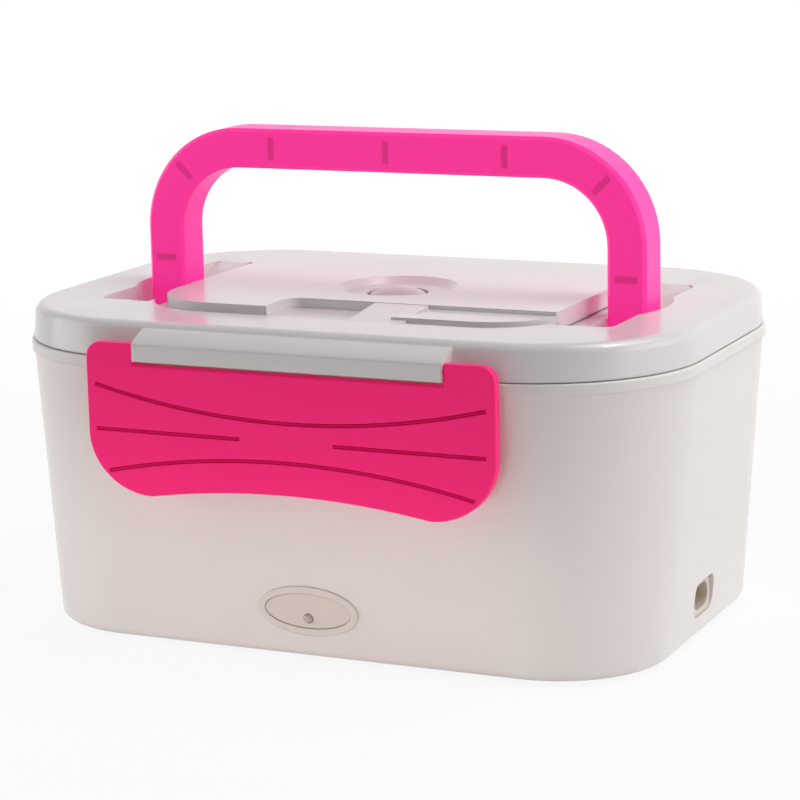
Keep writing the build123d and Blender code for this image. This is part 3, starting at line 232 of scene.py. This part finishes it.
# %% Plastic helper
CLOUD_SCALE, WAVE_SCALE, GLOSS_SCALE, SKIN_SCALE = 14.0, 22.0, 60.0, 900.0
WAVE_DEPTH, SKIN_DEPTH = 0.002, 0.0001    # metres
GLOSS_SPREAD = 0.15


def moulded_plastic(name, colour, roughness=0.3, cloud=0.02, skin=0.12, wave=0.06, edge=0.0004, shine=0.5,
                    painted_glow=0.0):
    """Moulded plastic: cloudy colour, uneven gloss, fine skin over a shallow wave, softened edges."""
    finish = bpy.data.materials.new(name)
    finish.use_nodes = True
    tree = finish.node_tree
    new, link = tree.nodes.new, tree.links.new
    shader = tree.nodes["Principled BSDF"]
    shader.inputs["Specular IOR Level"].default_value = shine
    # Painted glow: emission in the plastic's own colour, light that no lamp gives.
    if painted_glow:
        shader.inputs["Emission Color"].default_value = colour
        shader.inputs["Emission Strength"].default_value = painted_glow
    place = new("ShaderNodeTexCoord")

    def noise(scale, detail):
        n = new("ShaderNodeTexNoise")
        n.inputs["Scale"].default_value = scale
        n.inputs["Detail"].default_value = detail
        link(place.outputs["Object"], n.inputs["Vector"])
        return n.outputs["Fac"]

    tint = new("ShaderNodeMix")
    tint.data_type = "RGBA"
    tint.inputs["A"].default_value = tuple(c * (1 - cloud) for c in colour[:3]) + (1,)
    tint.inputs["B"].default_value = tuple(min(c * (1 + cloud), 1) for c in colour[:3]) + (1,)
    link(noise(CLOUD_SCALE, 3.0), tint.inputs["Factor"])
    link(tint.outputs["Result"], shader.inputs["Base Color"])

    gloss = new("ShaderNodeMapRange")
    gloss.inputs["To Min"].default_value = roughness * (1 - GLOSS_SPREAD)
    gloss.inputs["To Max"].default_value = roughness * (1 + GLOSS_SPREAD)
    link(noise(GLOSS_SCALE, 4.0), gloss.inputs["Value"])
    link(gloss.outputs["Result"], shader.inputs["Roughness"])

    soft_edge = new("ShaderNodeBevel")
    soft_edge.samples = 4
    soft_edge.inputs["Radius"].default_value = edge
    broad = new("ShaderNodeBump")
    broad.inputs["Strength"].default_value = wave
    broad.inputs["Distance"].default_value = WAVE_DEPTH
    link(noise(WAVE_SCALE, 2.0), broad.inputs["Height"])
    link(soft_edge.outputs["Normal"], broad.inputs["Normal"])
    fine = new("ShaderNodeBump")
    fine.inputs["Strength"].default_value = skin
    fine.inputs["Distance"].default_value = SKIN_DEPTH
    link(noise(SKIN_SCALE, 3.0), fine.inputs["Height"])
    link(broad.outputs["Normal"], fine.inputs["Normal"])
    link(fine.outputs["Normal"], shader.inputs["Normal"])
    print("finish:", name)
    return finish


# %% White, clear and coloured plastics
PLASTICS = {    # colour as it shows on a screen, roughness
    "body_white": ((233, 226, 223), 0.24),
    "liner_white": ((231, 226, 223), 0.34),
    "tray_white": ((235, 234, 230), 0.32),
    "side_lid_clear": ((222, 228, 234), 0.3),
    "spoon_plastic": ((236, 234, 228), 0.3),
    "plug_silicone": ((228, 222, 222), 0.5),
    "seal_silicone": ((220, 221, 219), 0.55),
    "foot_rubber": ((150, 150, 150), 0.7),
    "inlet_plastic": ((222, 209, 200), 0.4),
    "bezel_grey": ((222, 214, 206), 0.3),
    "lens_white": ((220, 211, 201), 0.22),
    "led_clear": ((186, 176, 164), 0.12),
    "thermostat_case": ((95, 62, 40), 0.5),
    "fuse_case": ((226, 222, 205), 0.5),
    "board_green": ((30, 120, 60), 0.35),
    "wire_brown": ((110, 62, 30), 0.45),
    "wire_blue": ((40, 90, 190), 0.45),
    "wire_white": ((226, 226, 220), 0.45),
    "wire_black": ((30, 30, 32), 0.45),
}
finishes = {name: moulded_plastic(name, screen_colour(*colour), roughness)
            for name, (colour, roughness) in PLASTICS.items()}

# The lid's edges are rounder than those of the other mouldings.
LID_EDGE = 0.0009
finishes["lid_white"] = moulded_plastic("lid_white", screen_colour(226, 222, 223), roughness=0.22,
                                        edge=LID_EDGE)

# %% [markdown]
# ### The pinks
# The handle and the latches are one neon pink plastic. It looks brighter than any plain paint, most of all in
# the thin-walled handle, where light comes through the walls from behind. A little emission in the same
# colour stands in for that as a painted glow, and a low shine keeps white reflections from washing the pink
# out.

# %% Pink finishes
# The emission strengths are painted glow, strongest in the thin-walled handle.
HANDLE_PINK, HANDLE_PAINTED_GLOW = screen_colour(251, 50, 154), 0.44
LATCH_PINK, LATCH_PAINTED_GLOW = screen_colour(240, 30, 116), 0.24
finishes["pink_plastic"] = moulded_plastic("handle_pink", HANDLE_PINK, roughness=0.34, cloud=0.03,
                                           shine=0.3, painted_glow=HANDLE_PAINTED_GLOW)
latch_pink = moulded_plastic("latch_pink", LATCH_PINK, roughness=0.34, cloud=0.03, shine=0.25,
                             painted_glow=LATCH_PAINTED_GLOW)

# %% [markdown]
# ## Metal
# The heating plate, clamp, screws and pins are metal. Metal needs little colour work: a full metallic
# shader, and a streaky roughness that reads as brushed or cast.

# %% Metal helper
STREAK_SCALE, STREAK_SPREAD = 300.0, 0.3
STREAK_DEPTH, STREAK_STRENGTH = 0.0001, 0.2


def worked_metal(name, colour, roughness, streak):
    """Metal whose gloss varies in streaks along X, as brushing or casting leaves it."""
    finish = bpy.data.materials.new(name)
    finish.use_nodes = True
    tree = finish.node_tree
    new, link = tree.nodes.new, tree.links.new
    shader = tree.nodes["Principled BSDF"]
    shader.inputs["Base Color"].default_value = colour
    shader.inputs["Metallic"].default_value = 1.0
    place = new("ShaderNodeTexCoord")
    squeeze = new("ShaderNodeMapping")
    lines = new("ShaderNodeTexNoise")
    squeeze.inputs["Scale"].default_value = (1.0, streak, streak)
    lines.inputs["Scale"].default_value = STREAK_SCALE
    link(place.outputs["Object"], squeeze.inputs["Vector"])
    link(squeeze.outputs["Vector"], lines.inputs["Vector"])
    gloss = new("ShaderNodeMapRange")
    gloss.inputs["To Min"].default_value = roughness * (1 - STREAK_SPREAD)
    gloss.inputs["To Max"].default_value = roughness * (1 + STREAK_SPREAD)
    link(lines.outputs["Fac"], gloss.inputs["Value"])
    link(gloss.outputs["Result"], shader.inputs["Roughness"])
    bump = new("ShaderNodeBump")
    bump.inputs["Strength"].default_value = STREAK_STRENGTH
    bump.inputs["Distance"].default_value = STREAK_DEPTH
    link(lines.outputs["Fac"], bump.inputs["Height"])
    link(bump.outputs["Normal"], shader.inputs["Normal"])
    print("finish:", name)
    return finish


# %% Metals
METALS = {    # colour as light amounts, roughness, how much the streaks are squeezed
    "plate_aluminium": ((0.79, 0.79, 0.80, 1), 0.38, 6.0),
    "heater_case": ((0.70, 0.70, 0.71, 1), 0.42, 4.0),
    "bracket_steel": ((0.62, 0.62, 0.63, 1), 0.35, 8.0),
    "screw_steel": ((0.60, 0.60, 0.62, 1), 0.28, 1.0),
    "pin_brass": ((0.80, 0.63, 0.33, 1), 0.25, 1.0),
}
for name, (colour, roughness, streak) in METALS.items():
    finishes[name] = worked_metal(name, colour, roughness, streak)

# %% [markdown]
# ## Give each CAD piece its finish
# The record says which material slot each piece uses. The CAD meshes are loose triangles, so each piece is
# given its finish on its own object, which keeps its shape exactly as the CAD has it.

# %% Assign finishes
slot_of = {s["node"]: s["material_slot"] for s in frame["record"]["subparts"]}
LATCHES = ("front_latch", "rear_latch")
for name, piece in nodes.items():
    piece.data.materials.clear()
    piece.data.materials.append(latch_pink if name in LATCHES else finishes[slot_of[name]])
print("finished pieces:", len(slot_of))

# %% [markdown]
# ## Smooth skins for the mouldings
# A CAD mesh is made of flat facets. On a real moulding the curves are smooth, so the pieces that show get a
# skin: a copy of the CAD mesh with its doubles merged, shaded smooth across gentle angles and left crisp at
# real edges. Normals weighted by face area keep the large flat walls flat right up to a rounded edge. The
# screws and the cutlery cover come later, in ways of their own.

# %% Mesh helpers
MERGE_DISTANCE = 1e-6


def plain_mesh(source):
    """The evaluated shape of an object as a mesh of its own; the object itself is removed."""
    graph = bpy.context.evaluated_depsgraph_get()
    mesh = bpy.data.meshes.new_from_object(source.evaluated_get(graph))
    bpy.data.objects.remove(source)
    return mesh


def linked(name, mesh):
    """A new object in the scene, at the origin."""
    made = bpy.data.objects.new(name, mesh)
    bpy.context.scene.collection.objects.link(made)
    return made


def merged(name):
    """A draft copy of a CAD piece with its doubles merged and no stored normals."""
    mesh = nodes[name].data.copy()
    if "custom_normal" in mesh.attributes:
        mesh.attributes.remove(mesh.attributes["custom_normal"])
    work = bmesh.new()
    work.from_mesh(mesh)
    bmesh.ops.remove_doubles(work, verts=work.verts, dist=MERGE_DISTANCE)
    work.to_mesh(mesh)
    work.free()
    return linked(name + "_draft", mesh)


print("mesh helpers ready")

# %% Smooth skins
bodies = frame["record"]["behaviour"]["bodies"]
body_of_node = {node: body for body, members in bodies.items() for node in members}
MADE_BY_RULE, OWN_SHAPE = ("bottom_screws", "clamp_screws"), ("cutlery_cover",)
SMOOTH_UP_TO = math.radians(32.0)


def smoothed(draft):
    """Shade a draft smooth across gentle angles, keep its flat walls flat, and give it as a mesh."""
    work = bmesh.new()
    work.from_mesh(draft.data)
    for edge in work.edges:
        edge.smooth = len(edge.link_faces) == 2 and edge.calc_face_angle(0.0) < SMOOTH_UP_TO
    for face in work.faces:
        face.smooth = True
    work.to_mesh(draft.data)
    work.free()
    weighted = draft.modifiers.new("weighted", "WEIGHTED_NORMAL")
    weighted.keep_sharp = True
    return plain_mesh(draft)


def stands_for(name, mesh):
    """Make a mesh the visible piece for a CAD node."""
    skin = linked(name + "_skin", mesh)
    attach(skin, body_of_node[name])
    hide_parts(name)


for name in nodes:
    if name not in MADE_BY_RULE + OWN_SHAPE:
        stands_for(name, smoothed(merged(name)))
print("skins:", len(nodes) - len(MADE_BY_RULE) - len(OWN_SHAPE))

# %% [markdown]
# ## The cutlery cover
# The cover's top has more levels than its CAD solid: beside the deep notch at the front runs a shallow
# shelf, and the back is level with the plateau. Both are prisms inside the cover's rounded outline, added
# to a copy of the CAD mesh with boolean modifiers, because the rest of the shape is right as it is.

# %% Prism inside the cover's outline
PANEL_LENGTH, PANEL_WIDTH, PANEL_CORNER, PANEL_TOP = 0.139, 0.099, 0.023, 0.1095
TERRACE, TERRACE_LINE = 0.1064, 0.032     # the terrace's height, and where its step up to the plateau is
SUNK_IN, PAST_STEP, HAIR = 0.0008, 0.0005, 0.00003    # small offsets that let the boolean join cleanly
ARC_STEPS = 24


def cover_prism(x_from, z_to):
    """A prism on the front right terrace, from the step out to the cover's rounded corner."""
    y_from = TERRACE_LINE - PAST_STEP
    x_arc, y_arc = PANEL_LENGTH / 2 - PANEL_CORNER, PANEL_WIDTH / 2 - PANEL_CORNER
    radius = PANEL_CORNER - HAIR
    start, end = -math.pi / 2, -math.asin((y_from - y_arc) / radius)
    angles = [start + (end - start) * i / ARC_STEPS for i in range(ARC_STEPS + 1)]
    plan = [(x_from, -y_from), (x_from, -y_arc - radius)]
    plan += [(x_arc + radius * math.cos(t), -y_arc + radius * math.sin(t)) for t in angles]
    work = bmesh.new()
    base = work.faces.new([work.verts.new((x, y, TERRACE - SUNK_IN)) for x, y in plan])
    raised = bmesh.ops.extrude_face_region(work, geom=[base])["geom"]
    tops = [v for v in raised if isinstance(v, bmesh.types.BMVert)]
    bmesh.ops.translate(work, verts=tops, vec=(0, 0, z_to - TERRACE + SUNK_IN))
    bmesh.ops.recalc_face_normals(work, faces=work.faces)
    mesh = bpy.data.meshes.new("cover_prism")
    work.to_mesh(mesh)
    work.free()
    return linked("cover_prism", mesh)


print("cover prism: steps in its rounded corner:", ARC_STEPS)

# %% Cutlery cover
SHELF_FROM, SHELF_TOP, BACK_FROM = 0.020, 0.1083, -0.0245

cover = merged("cutlery_cover")
shelf = cover_prism(SHELF_FROM, SHELF_TOP)
back = cover_prism(BACK_FROM, PANEL_TOP)
back.data.transform(Matrix.Rotation(math.pi, 4, "Z"))
for block in (shelf, back):
    joined = cover.modifiers.new("joined", "BOOLEAN")
    joined.operation, joined.solver, joined.object = "UNION", "EXACT", block
whole_cover = linked("cutlery_cover_draft", plain_mesh(cover))
for block in (shelf, back):
    bpy.data.objects.remove(block)
cover_mesh = smoothed(whole_cover)
stands_for("cutlery_cover", cover_mesh)
print("cover faces:", len(cover_mesh.polygons))

# %% [markdown]
# ## Closed corners of the leg pockets
# The ends of the lid's leg pockets are open at one corner in the CAD, so one could look into the hollow
# lid. A real lid is one moulding there. Each corner gets a floor at the level of the sunk middle, a wall
# under the lid's top and a wall under the pocket's ramp. They are prisms along X, written once and mirrored
# to all four corners. A mirrored shape can be inside out, so the normals are recalculated.

# %% Pocket corners
SUNK_FLOOR, SUNK_UNDER, TOP_INSIDE = 0.10339, 0.1017, 0.1058    # heights
CORNER_X, CORNER_Y = (0.0713, 0.0784), (0.0342, 0.0428)         # a little past the opening's edges
END_WALL_Y, RAMP_WALL_X = 0.04155, 0.07735
RAMP_SLOPE, RAMP_Y, RAMP_Z = 0.385, 0.036, 0.1044


def ramp(y):
    """The height of the middle of the ramp's thickness."""
    return RAMP_Z + (y - RAMP_Y) * RAMP_SLOPE


def raised_outline(y_from, y_to, z_from, z_to):
    """Four corners in Y and Z: a flat lower edge, and an upper edge with a height at each end."""
    return [(y_from, SUNK_UNDER), (y_to, SUNK_UNDER), (y_to, z_to), (y_from, z_from)]


def add_prism(work, outline, x_from, x_to, x_sign, y_sign):
    """Add a prism to a mesh in work: an outline run along X, mirrored by the signs."""
    ends = [[work.verts.new((x_sign * x, y_sign * y, z)) for y, z in outline] for x in (x_from, x_to)]
    work.faces.new(ends[0])
    work.faces.new(ends[1])
    for i in range(4):
        work.faces.new((ends[0][i], ends[0][i - 1], ends[1][i - 1], ends[1][i]))


Y_IN, Y_OUT = CORNER_Y
CORNER_PARTS = (    # the floor, the wall under the lid's top and the wall under the ramp
    (CORNER_X, raised_outline(Y_IN, Y_OUT, SUNK_FLOOR, SUNK_FLOOR)),
    (CORNER_X, raised_outline(END_WALL_Y, Y_OUT, TOP_INSIDE, TOP_INSIDE)),
    ((RAMP_WALL_X, CORNER_X[1]), raised_outline(Y_IN, END_WALL_Y, ramp(Y_IN), ramp(END_WALL_Y))),
)
print("parts of a corner:", len(CORNER_PARTS))

# %% Four corners
work = bmesh.new()
for x_sign in (-1, 1):
    for y_sign in (-1, 1):
        for (x_from, x_to), outline in CORNER_PARTS:
            add_prism(work, outline, x_from, x_to, x_sign, y_sign)
bmesh.ops.recalc_face_normals(work, faces=work.faces)
corner_mesh = bpy.data.meshes.new("pocket_corners")
work.to_mesh(corner_mesh)
work.free()
corner_mesh.materials.append(finishes["lid_white"])
pocket_corners = linked("pocket_corners", corner_mesh)
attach(pocket_corners, "lid")
print("pocket corner faces:", len(corner_mesh.polygons))

# %% [markdown]
# ## Geometry Nodes: small things that repeat or follow a line
# The screws, the painted rib shadows on the handle and the painted shade in the latches' grooves each follow
# a rule. A Geometry Nodes tree says the rule once, with its sizes as named inputs. A few helpers build a
# tree, and one turns what it makes into a plain mesh, so that it can move with its body and be exported.

# %% Tree helpers
def new_tree(name, inputs):
    """A Geometry Nodes tree with one geometry going through it, and the given named inputs."""
    tree = bpy.data.node_groups.new(name, "GeometryNodeTree")
    tree.interface.new_socket("Geometry", in_out="INPUT", socket_type="NodeSocketGeometry")
    for title in inputs:
        kind = "NodeSocketMaterial" if title == "Finish" else "NodeSocketFloat"
        tree.interface.new_socket(title, in_out="INPUT", socket_type=kind)
    tree.interface.new_socket("Geometry", in_out="OUTPUT", socket_type="NodeSocketGeometry")
    return tree, tree.nodes.new("NodeGroupInput").outputs


def add_node(tree, kind, settings=None, **wires):
    """Add a node, choose its settings, and wire or set its inputs.

    An input is named with _ for a space, or as in0 or in1 where it is known by its number."""
    node = tree.nodes.new(kind)
    for key, value in (settings or {}).items():
        setattr(node, key, value)
    for key, value in wires.items():
        numbered = key in ("in0", "in1")
        socket = node.inputs[int(key[2:]) if numbered else key.replace("_", " ")]
        if isinstance(value, bpy.types.NodeSocket):
            tree.links.new(value, socket)
        else:
            socket.default_value = value
    return node


def close_tree(tree, shape, finish):
    """Realize the instances, set the finish and end the tree."""
    real = add_node(tree, "GeometryNodeRealizeInstances", Geometry=shape)
    done = add_node(tree, "GeometryNodeSetMaterial", Geometry=real.outputs[0], Material=finish)
    end = tree.nodes.new("NodeGroupOutput")
    tree.links.new(done.outputs[0], end.inputs[0])


print("tree helpers ready")

# %% Values in a tree, and a plain mesh out of it
def grow(name, tree, sizes, base=None):
    """Run a tree on a base mesh and keep what it makes as a plain object."""
    start = linked(name + "_start", base or bpy.data.meshes.new(name + "_base"))
    modifier = start.modifiers.new("rule", "NODES")
    modifier.node_group = tree
    for item in tree.interface.items_tree:
        if item.in_out == "INPUT" and item.name in sizes:
            modifier[item.identifier] = sizes[item.name]
    made = linked(name, plain_mesh(start))
    print(name, "faces:", len(made.data.polygons))
    return made


def vector(tree, x=0.0, y=0.0, z=0.0):
    """A vector from three numbers or sockets."""
    return add_node(tree, "ShaderNodeCombineXYZ", X=x, Y=y, Z=z).outputs[0]


def times(tree, value, factor):
    """A socket's value times a number or another socket's value."""
    return add_node(tree, "ShaderNodeMath", {"operation": "MULTIPLY"}, in0=value, in1=factor).outputs[0]


print("value helpers ready")

# %% [markdown]
# ### Cross-head screws
# Four screws hold the bottom cover and two the heater clamp. One screw is a chamfered head with a cross cut
# out of it by a boolean, and a shank. It is made once and put on a point for each screw, heads down.

# %% Screw tree
HEAD_SIDES, SHANK_SIDES = 40, 24
HEAD_BASE, CROSS_SPAN, CROSS_SINK = 0.8, 1.2, -0.45    # shares of the head's radius and height
SCREW_SIZES = ("Head Radius", "Head Height", "Shank Radius", "Shank Length", "Slot Width", "Finish")

screw_tree, size = new_tree("cross_head_screw", SCREW_SIZES)
head = add_node(screw_tree, "GeometryNodeMeshCone", Vertices=HEAD_SIDES, Radius_Top=size["Head Radius"],
                Radius_Bottom=times(screw_tree, size["Head Radius"], HEAD_BASE), Depth=size["Head Height"])
slot_length = times(screw_tree, size["Head Radius"], CROSS_SPAN)
slot_depth = size["Head Height"]
spans = ((slot_length, size["Slot Width"]), (size["Slot Width"], slot_length))
bars = [add_node(screw_tree, "GeometryNodeMeshCube", Size=vector(screw_tree, *span, slot_depth))
        for span in spans]
cross = add_node(screw_tree, "GeometryNodeMeshBoolean", {"operation": "UNION", "solver": "EXACT"})
for bar in bars:
    screw_tree.links.new(bar.outputs["Mesh"], cross.inputs["Mesh 2"])
lowered = add_node(screw_tree, "GeometryNodeTransform", Geometry=cross.outputs[0],
                   Translation=vector(screw_tree, z=times(screw_tree, slot_depth, CROSS_SINK)))
cut = add_node(screw_tree, "GeometryNodeMeshBoolean", {"operation": "DIFFERENCE", "solver": "EXACT"})
screw_tree.links.new(head.outputs["Mesh"], cut.inputs["Mesh 1"])
screw_tree.links.new(lowered.outputs[0], cut.inputs["Mesh 2"])
shank = add_node(screw_tree, "GeometryNodeMeshCylinder", Vertices=SHANK_SIDES, Radius=size["Shank Radius"],
                 Depth=size["Shank Length"])
raised = add_node(screw_tree, "GeometryNodeTransform", Geometry=shank.outputs["Mesh"],
                  Translation=vector(screw_tree, z=times(screw_tree, size["Shank Length"], 0.5)))
whole = add_node(screw_tree, "GeometryNodeJoinGeometry")
for half in (cut, raised):
    screw_tree.links.new(half.outputs[0], whole.inputs[0])
placed = add_node(screw_tree, "GeometryNodeInstanceOnPoints", Points=size["Geometry"],
                  Instance=whole.outputs[0])
close_tree(screw_tree, placed.outputs[0], size["Finish"])
print("screw tree nodes:", len(screw_tree.nodes))

# %% Screws
HEAD_RADIUS, HEAD_HEIGHT, SHANK_RADIUS, SLOT_WIDTH = 0.0029, 0.0018, 0.0015, 0.0009


def screws(name, count_y):
    """Grow the screws of one CAD node, heads down, in one or two rows between the ends of its box."""
    low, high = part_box(name)
    xs = (low[0] + HEAD_RADIUS, high[0] - HEAD_RADIUS)
    ys = (low[1] + HEAD_RADIUS, high[1] - HEAD_RADIUS) if count_y == 2 else ((low[1] + high[1]) / 2,)
    points = bpy.data.meshes.new(name + "_points")
    points.from_pydata([(x, y, low[2] + HEAD_HEIGHT / 2) for x in xs for y in ys], [], [])
    made = grow(name + "_made", screw_tree, {
        "Head Radius": HEAD_RADIUS, "Head Height": HEAD_HEIGHT, "Shank Radius": SHANK_RADIUS,
        "Shank Length": high[2] - low[2] - HEAD_HEIGHT / 2, "Slot Width": SLOT_WIDTH,
        "Finish": finishes["screw_steel"]}, points)
    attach(made, "base")
    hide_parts(name)


screws("bottom_screws", 2)
screws("clamp_screws", 1)

# %% [markdown]
# ### Painted rib shadows on the handle
# The handle is a channel with cross ribs at its back. Where a rib meets the thin front wall it keeps light
# from coming through, and the front shows a darker bar over a slightly sunk pocket. Each mark is a thin plate
# in the CAD handle's shallow pocket, in a darker pink with a weaker glow: painted shade. The tree stores how
# far each point is from the mark's middle line, and towards the mark's sides the painted shade fades to the
# handle's own pink.

# %% Rib mark finish
# Painted shade of the rib: the mark's pink is darkened by this factor and glows less than the handle.
MARK_PAINTED_SHADE, MARK_PAINTED_GLOW, FADE_START = 0.82, 0.24, 0.55


def pink_with_painted_shade(name, colour):
    """The pink with a painted rib shadow: darker along the middle of a mark, by the stored distance from its
    middle line.
    """
    finish = moulded_plastic(name, colour, roughness=0.34, cloud=0.03, shine=0.3, painted_glow=MARK_PAINTED_GLOW)
    tree = finish.node_tree
    shader = tree.nodes["Principled BSDF"]
    away = tree.nodes.new("ShaderNodeAttribute")
    away.attribute_name = "from_middle"
    fade = tree.nodes.new("ShaderNodeMapRange")
    fade.interpolation_type = "SMOOTHSTEP"
    fade.inputs["From Min"].default_value = FADE_START
    fade.inputs["From Max"].default_value = 1.0
    shade = tree.nodes.new("ShaderNodeMix")
    shade.data_type = "RGBA"
    own = shader.inputs["Base Color"].links[0].from_socket
    shade.inputs["A"].default_value = tuple(c * MARK_PAINTED_SHADE for c in colour[:3]) + (1,)
    tree.links.new(away.outputs["Fac"], fade.inputs["Value"])
    tree.links.new(fade.outputs["Result"], shade.inputs["Factor"])
    tree.links.new(own, shade.inputs["B"])
    tree.links.new(shade.outputs["Result"], shader.inputs["Base Color"])
    return finish


rib_shadow_pink = pink_with_painted_shade("rib_shadow_pink", HANDLE_PINK)

# %% Rib mark tree
MARK_GRID = (9, 2, 5)    # points along the plate's width, thickness and height

mark_tree, size = new_tree("painted_rib_shadows", ("Mark Width", "Mark Height", "Mark Thickness", "Finish"))
plate = add_node(mark_tree, "GeometryNodeMeshCube",
                 Vertices_X=MARK_GRID[0], Vertices_Y=MARK_GRID[1], Vertices_Z=MARK_GRID[2],
                 Size=vector(mark_tree, size["Mark Width"], size["Mark Thickness"], size["Mark Height"]))
position = add_node(mark_tree, "GeometryNodeInputPosition")
across = add_node(mark_tree, "ShaderNodeSeparateXYZ", in0=position.outputs[0]).outputs["X"]
away = add_node(mark_tree, "ShaderNodeMath", {"operation": "ABSOLUTE"}, in0=across)
from_middle = add_node(mark_tree, "ShaderNodeMath", {"operation": "DIVIDE"}, in0=away.outputs[0],
                       in1=times(mark_tree, size["Mark Width"], 0.5))
stored = add_node(mark_tree, "GeometryNodeStoreNamedAttribute", {"data_type": "FLOAT", "domain": "POINT"},
                  Geometry=plate.outputs["Mesh"], Name="from_middle", Value=from_middle.outputs[0])
turn = add_node(mark_tree, "GeometryNodeInputNamedAttribute", {"data_type": "FLOAT"}, Name="turn")
marks = add_node(mark_tree, "GeometryNodeInstanceOnPoints", Points=size["Geometry"],
                 Instance=stored.outputs[0], Rotation=vector(mark_tree, y=turn.outputs["Attribute"]))
close_tree(mark_tree, marks.outputs[0], size["Finish"])
print("mark tree nodes:", len(mark_tree.nodes))

# %% Rib marks
HANDLE_INNER, HANDLE_BAND, HANDLE_DEPTH = 0.0766, 0.0133, 0.0154
HANDLE_TOP, HANDLE_ROUND, LEG_RIB, RIB_SPACING = 0.1613, 0.0215, 0.1165, 0.042
MARK_RECESS, MARK_BELOW = 0.0005, 0.00006     # the pocket's depth, and how far a mark lies under the face
MARK_WIDTH, MARK_HEIGHT = 0.00226, 0.00746

corner = HANDLE_INNER - HANDLE_ROUND
arc = (HANDLE_ROUND + HANDLE_BAND / 2) * math.sqrt(0.5)
arc_centre = HANDLE_TOP - HANDLE_BAND - HANDLE_ROUND
rib_places = [(i * RIB_SPACING, HANDLE_TOP - HANDLE_BAND / 2, 0.0) for i in (-1, 0, 1)]
for s in (-1, 1):
    rib_places.append((s * (corner + arc), arc_centre + arc, s * math.radians(45)))
    rib_places.append((s * (HANDLE_INNER + HANDLE_BAND / 2), LEG_RIB, math.radians(90)))
mark_thickness = MARK_RECESS - 2 * MARK_BELOW
mark_y = -HANDLE_DEPTH / 2 + MARK_BELOW + mark_thickness / 2
mark_points = bpy.data.meshes.new("rib_mark_points")
mark_points.from_pydata([(x, mark_y, z) for x, z, _ in rib_places], [], [])
turns = mark_points.attributes.new("turn", "FLOAT", "POINT")
turns.data.foreach_set("value", [angle for _, _, angle in rib_places])
painted_rib_shadows = grow("painted_rib_shadows", mark_tree, {
    "Mark Width": MARK_WIDTH, "Mark Height": MARK_HEIGHT, "Mark Thickness": mark_thickness,
    "Finish": rib_shadow_pink}, mark_points)
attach(painted_rib_shadows, "handle")

# %% [markdown]
# ### Painted shade in the latches' grooves
# Each latch has a bow tie of grooves: two long bowed ones and two short straight ones. They read as dark
# lines, because little light gets into them. The tree draws the four lines with arcs and straight runs, and
# sweeps a thin strip of a deeper pink along the floor of each groove, which paints that shade on.

# %% Groove tree helpers
GROOVE_SIZES = ("Reach", "Middle Z", "Face Y", "Strip Width", "Strip Thickness", "Finish")
groove_tree, size = new_tree("bow_tie_groove_shade", GROOVE_SIZES)


def height(rise):
    """A height above the bow tie's middle line."""
    return add_node(groove_tree, "ShaderNodeMath", {"operation": "ADD"}, in0=size["Middle Z"],
                    in1=rise).outputs[0]


def inset(by):
    """How far out a line goes that stops short of the reach."""
    return add_node(groove_tree, "ShaderNodeMath", {"operation": "SUBTRACT"}, in0=size["Reach"],
                    in1=by).outputs[0]


def on_face(x, z):
    """A point on the groove's floor."""
    return vector(groove_tree, x, size["Face Y"], z)


print("groove inputs:", GROOVE_SIZES)

# %% Groove tree
# Of each bow: how much shorter it is than the reach, its rise at the ends and its rise in the middle.
BOWS = ((0.0, 0.0145, 0.006), (0.004, -0.0135, -0.0065))
RUN_FROM, BOW_POINTS = 0.016, 48

lines = add_node(groove_tree, "GeometryNodeJoinGeometry")
for shorter, end_rise, middle_rise in BOWS:
    end = inset(shorter)
    bow = add_node(groove_tree, "GeometryNodeCurveArc", {"mode": "POINTS"}, Resolution=BOW_POINTS,
                   Start=on_face(times(groove_tree, end, -1.0), height(end_rise)),
                   Middle=on_face(0.0, height(middle_rise)), End=on_face(end, height(end_rise)))
    groove_tree.links.new(bow.outputs["Curve"], lines.inputs[0])
for s in (-1, 1):
    run = add_node(groove_tree, "GeometryNodeCurvePrimitiveLine",
                   Start=on_face(times(groove_tree, size["Reach"], s), height(0.0)),
                   End=on_face(s * RUN_FROM, height(0.0)))
    groove_tree.links.new(run.outputs["Curve"], lines.inputs[0])
section = add_node(groove_tree, "GeometryNodeCurvePrimitiveQuadrilateral", Width=size["Strip Thickness"],
                   Height=size["Strip Width"])
strip = add_node(groove_tree, "GeometryNodeCurveToMesh", Curve=lines.outputs[0],
                 Profile_Curve=section.outputs["Curve"], Fill_Caps=True)
close_tree(groove_tree, strip.outputs[0], size["Finish"])
print("groove tree nodes:", len(groove_tree.nodes))

# %% Groove strips
LATCH_FACE, GROOVE_DEPTH, STRIP_THICKNESS, STRIP_WIDTH = -0.0856, 0.0006, 0.0003, 0.00124
GROOVE_REACH, GROOVE_MIDDLE = 0.067, 0.074
# Painted shade: a deeper pink laid along the floors of the grooves.
GROOVE_SHADE_PINK = screen_colour(218, 18, 100)

groove_shade_pink = moulded_plastic("groove_shade_pink", GROOVE_SHADE_PINK, roughness=0.5, cloud=0.03, shine=0.1)
for name, half_turn in zip(LATCHES, (0.0, math.pi)):
    strips = grow(name + "_groove_shade_strips", groove_tree, {
        "Reach": GROOVE_REACH, "Middle Z": GROOVE_MIDDLE,
        "Face Y": LATCH_FACE + GROOVE_DEPTH - STRIP_THICKNESS / 2,
        "Strip Width": STRIP_WIDTH, "Strip Thickness": STRIP_THICKNESS, "Finish": groove_shade_pink})
    strips.data.transform(Matrix.Rotation(half_turn, 4, "Z"))
    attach(strips, body_of_node[name])
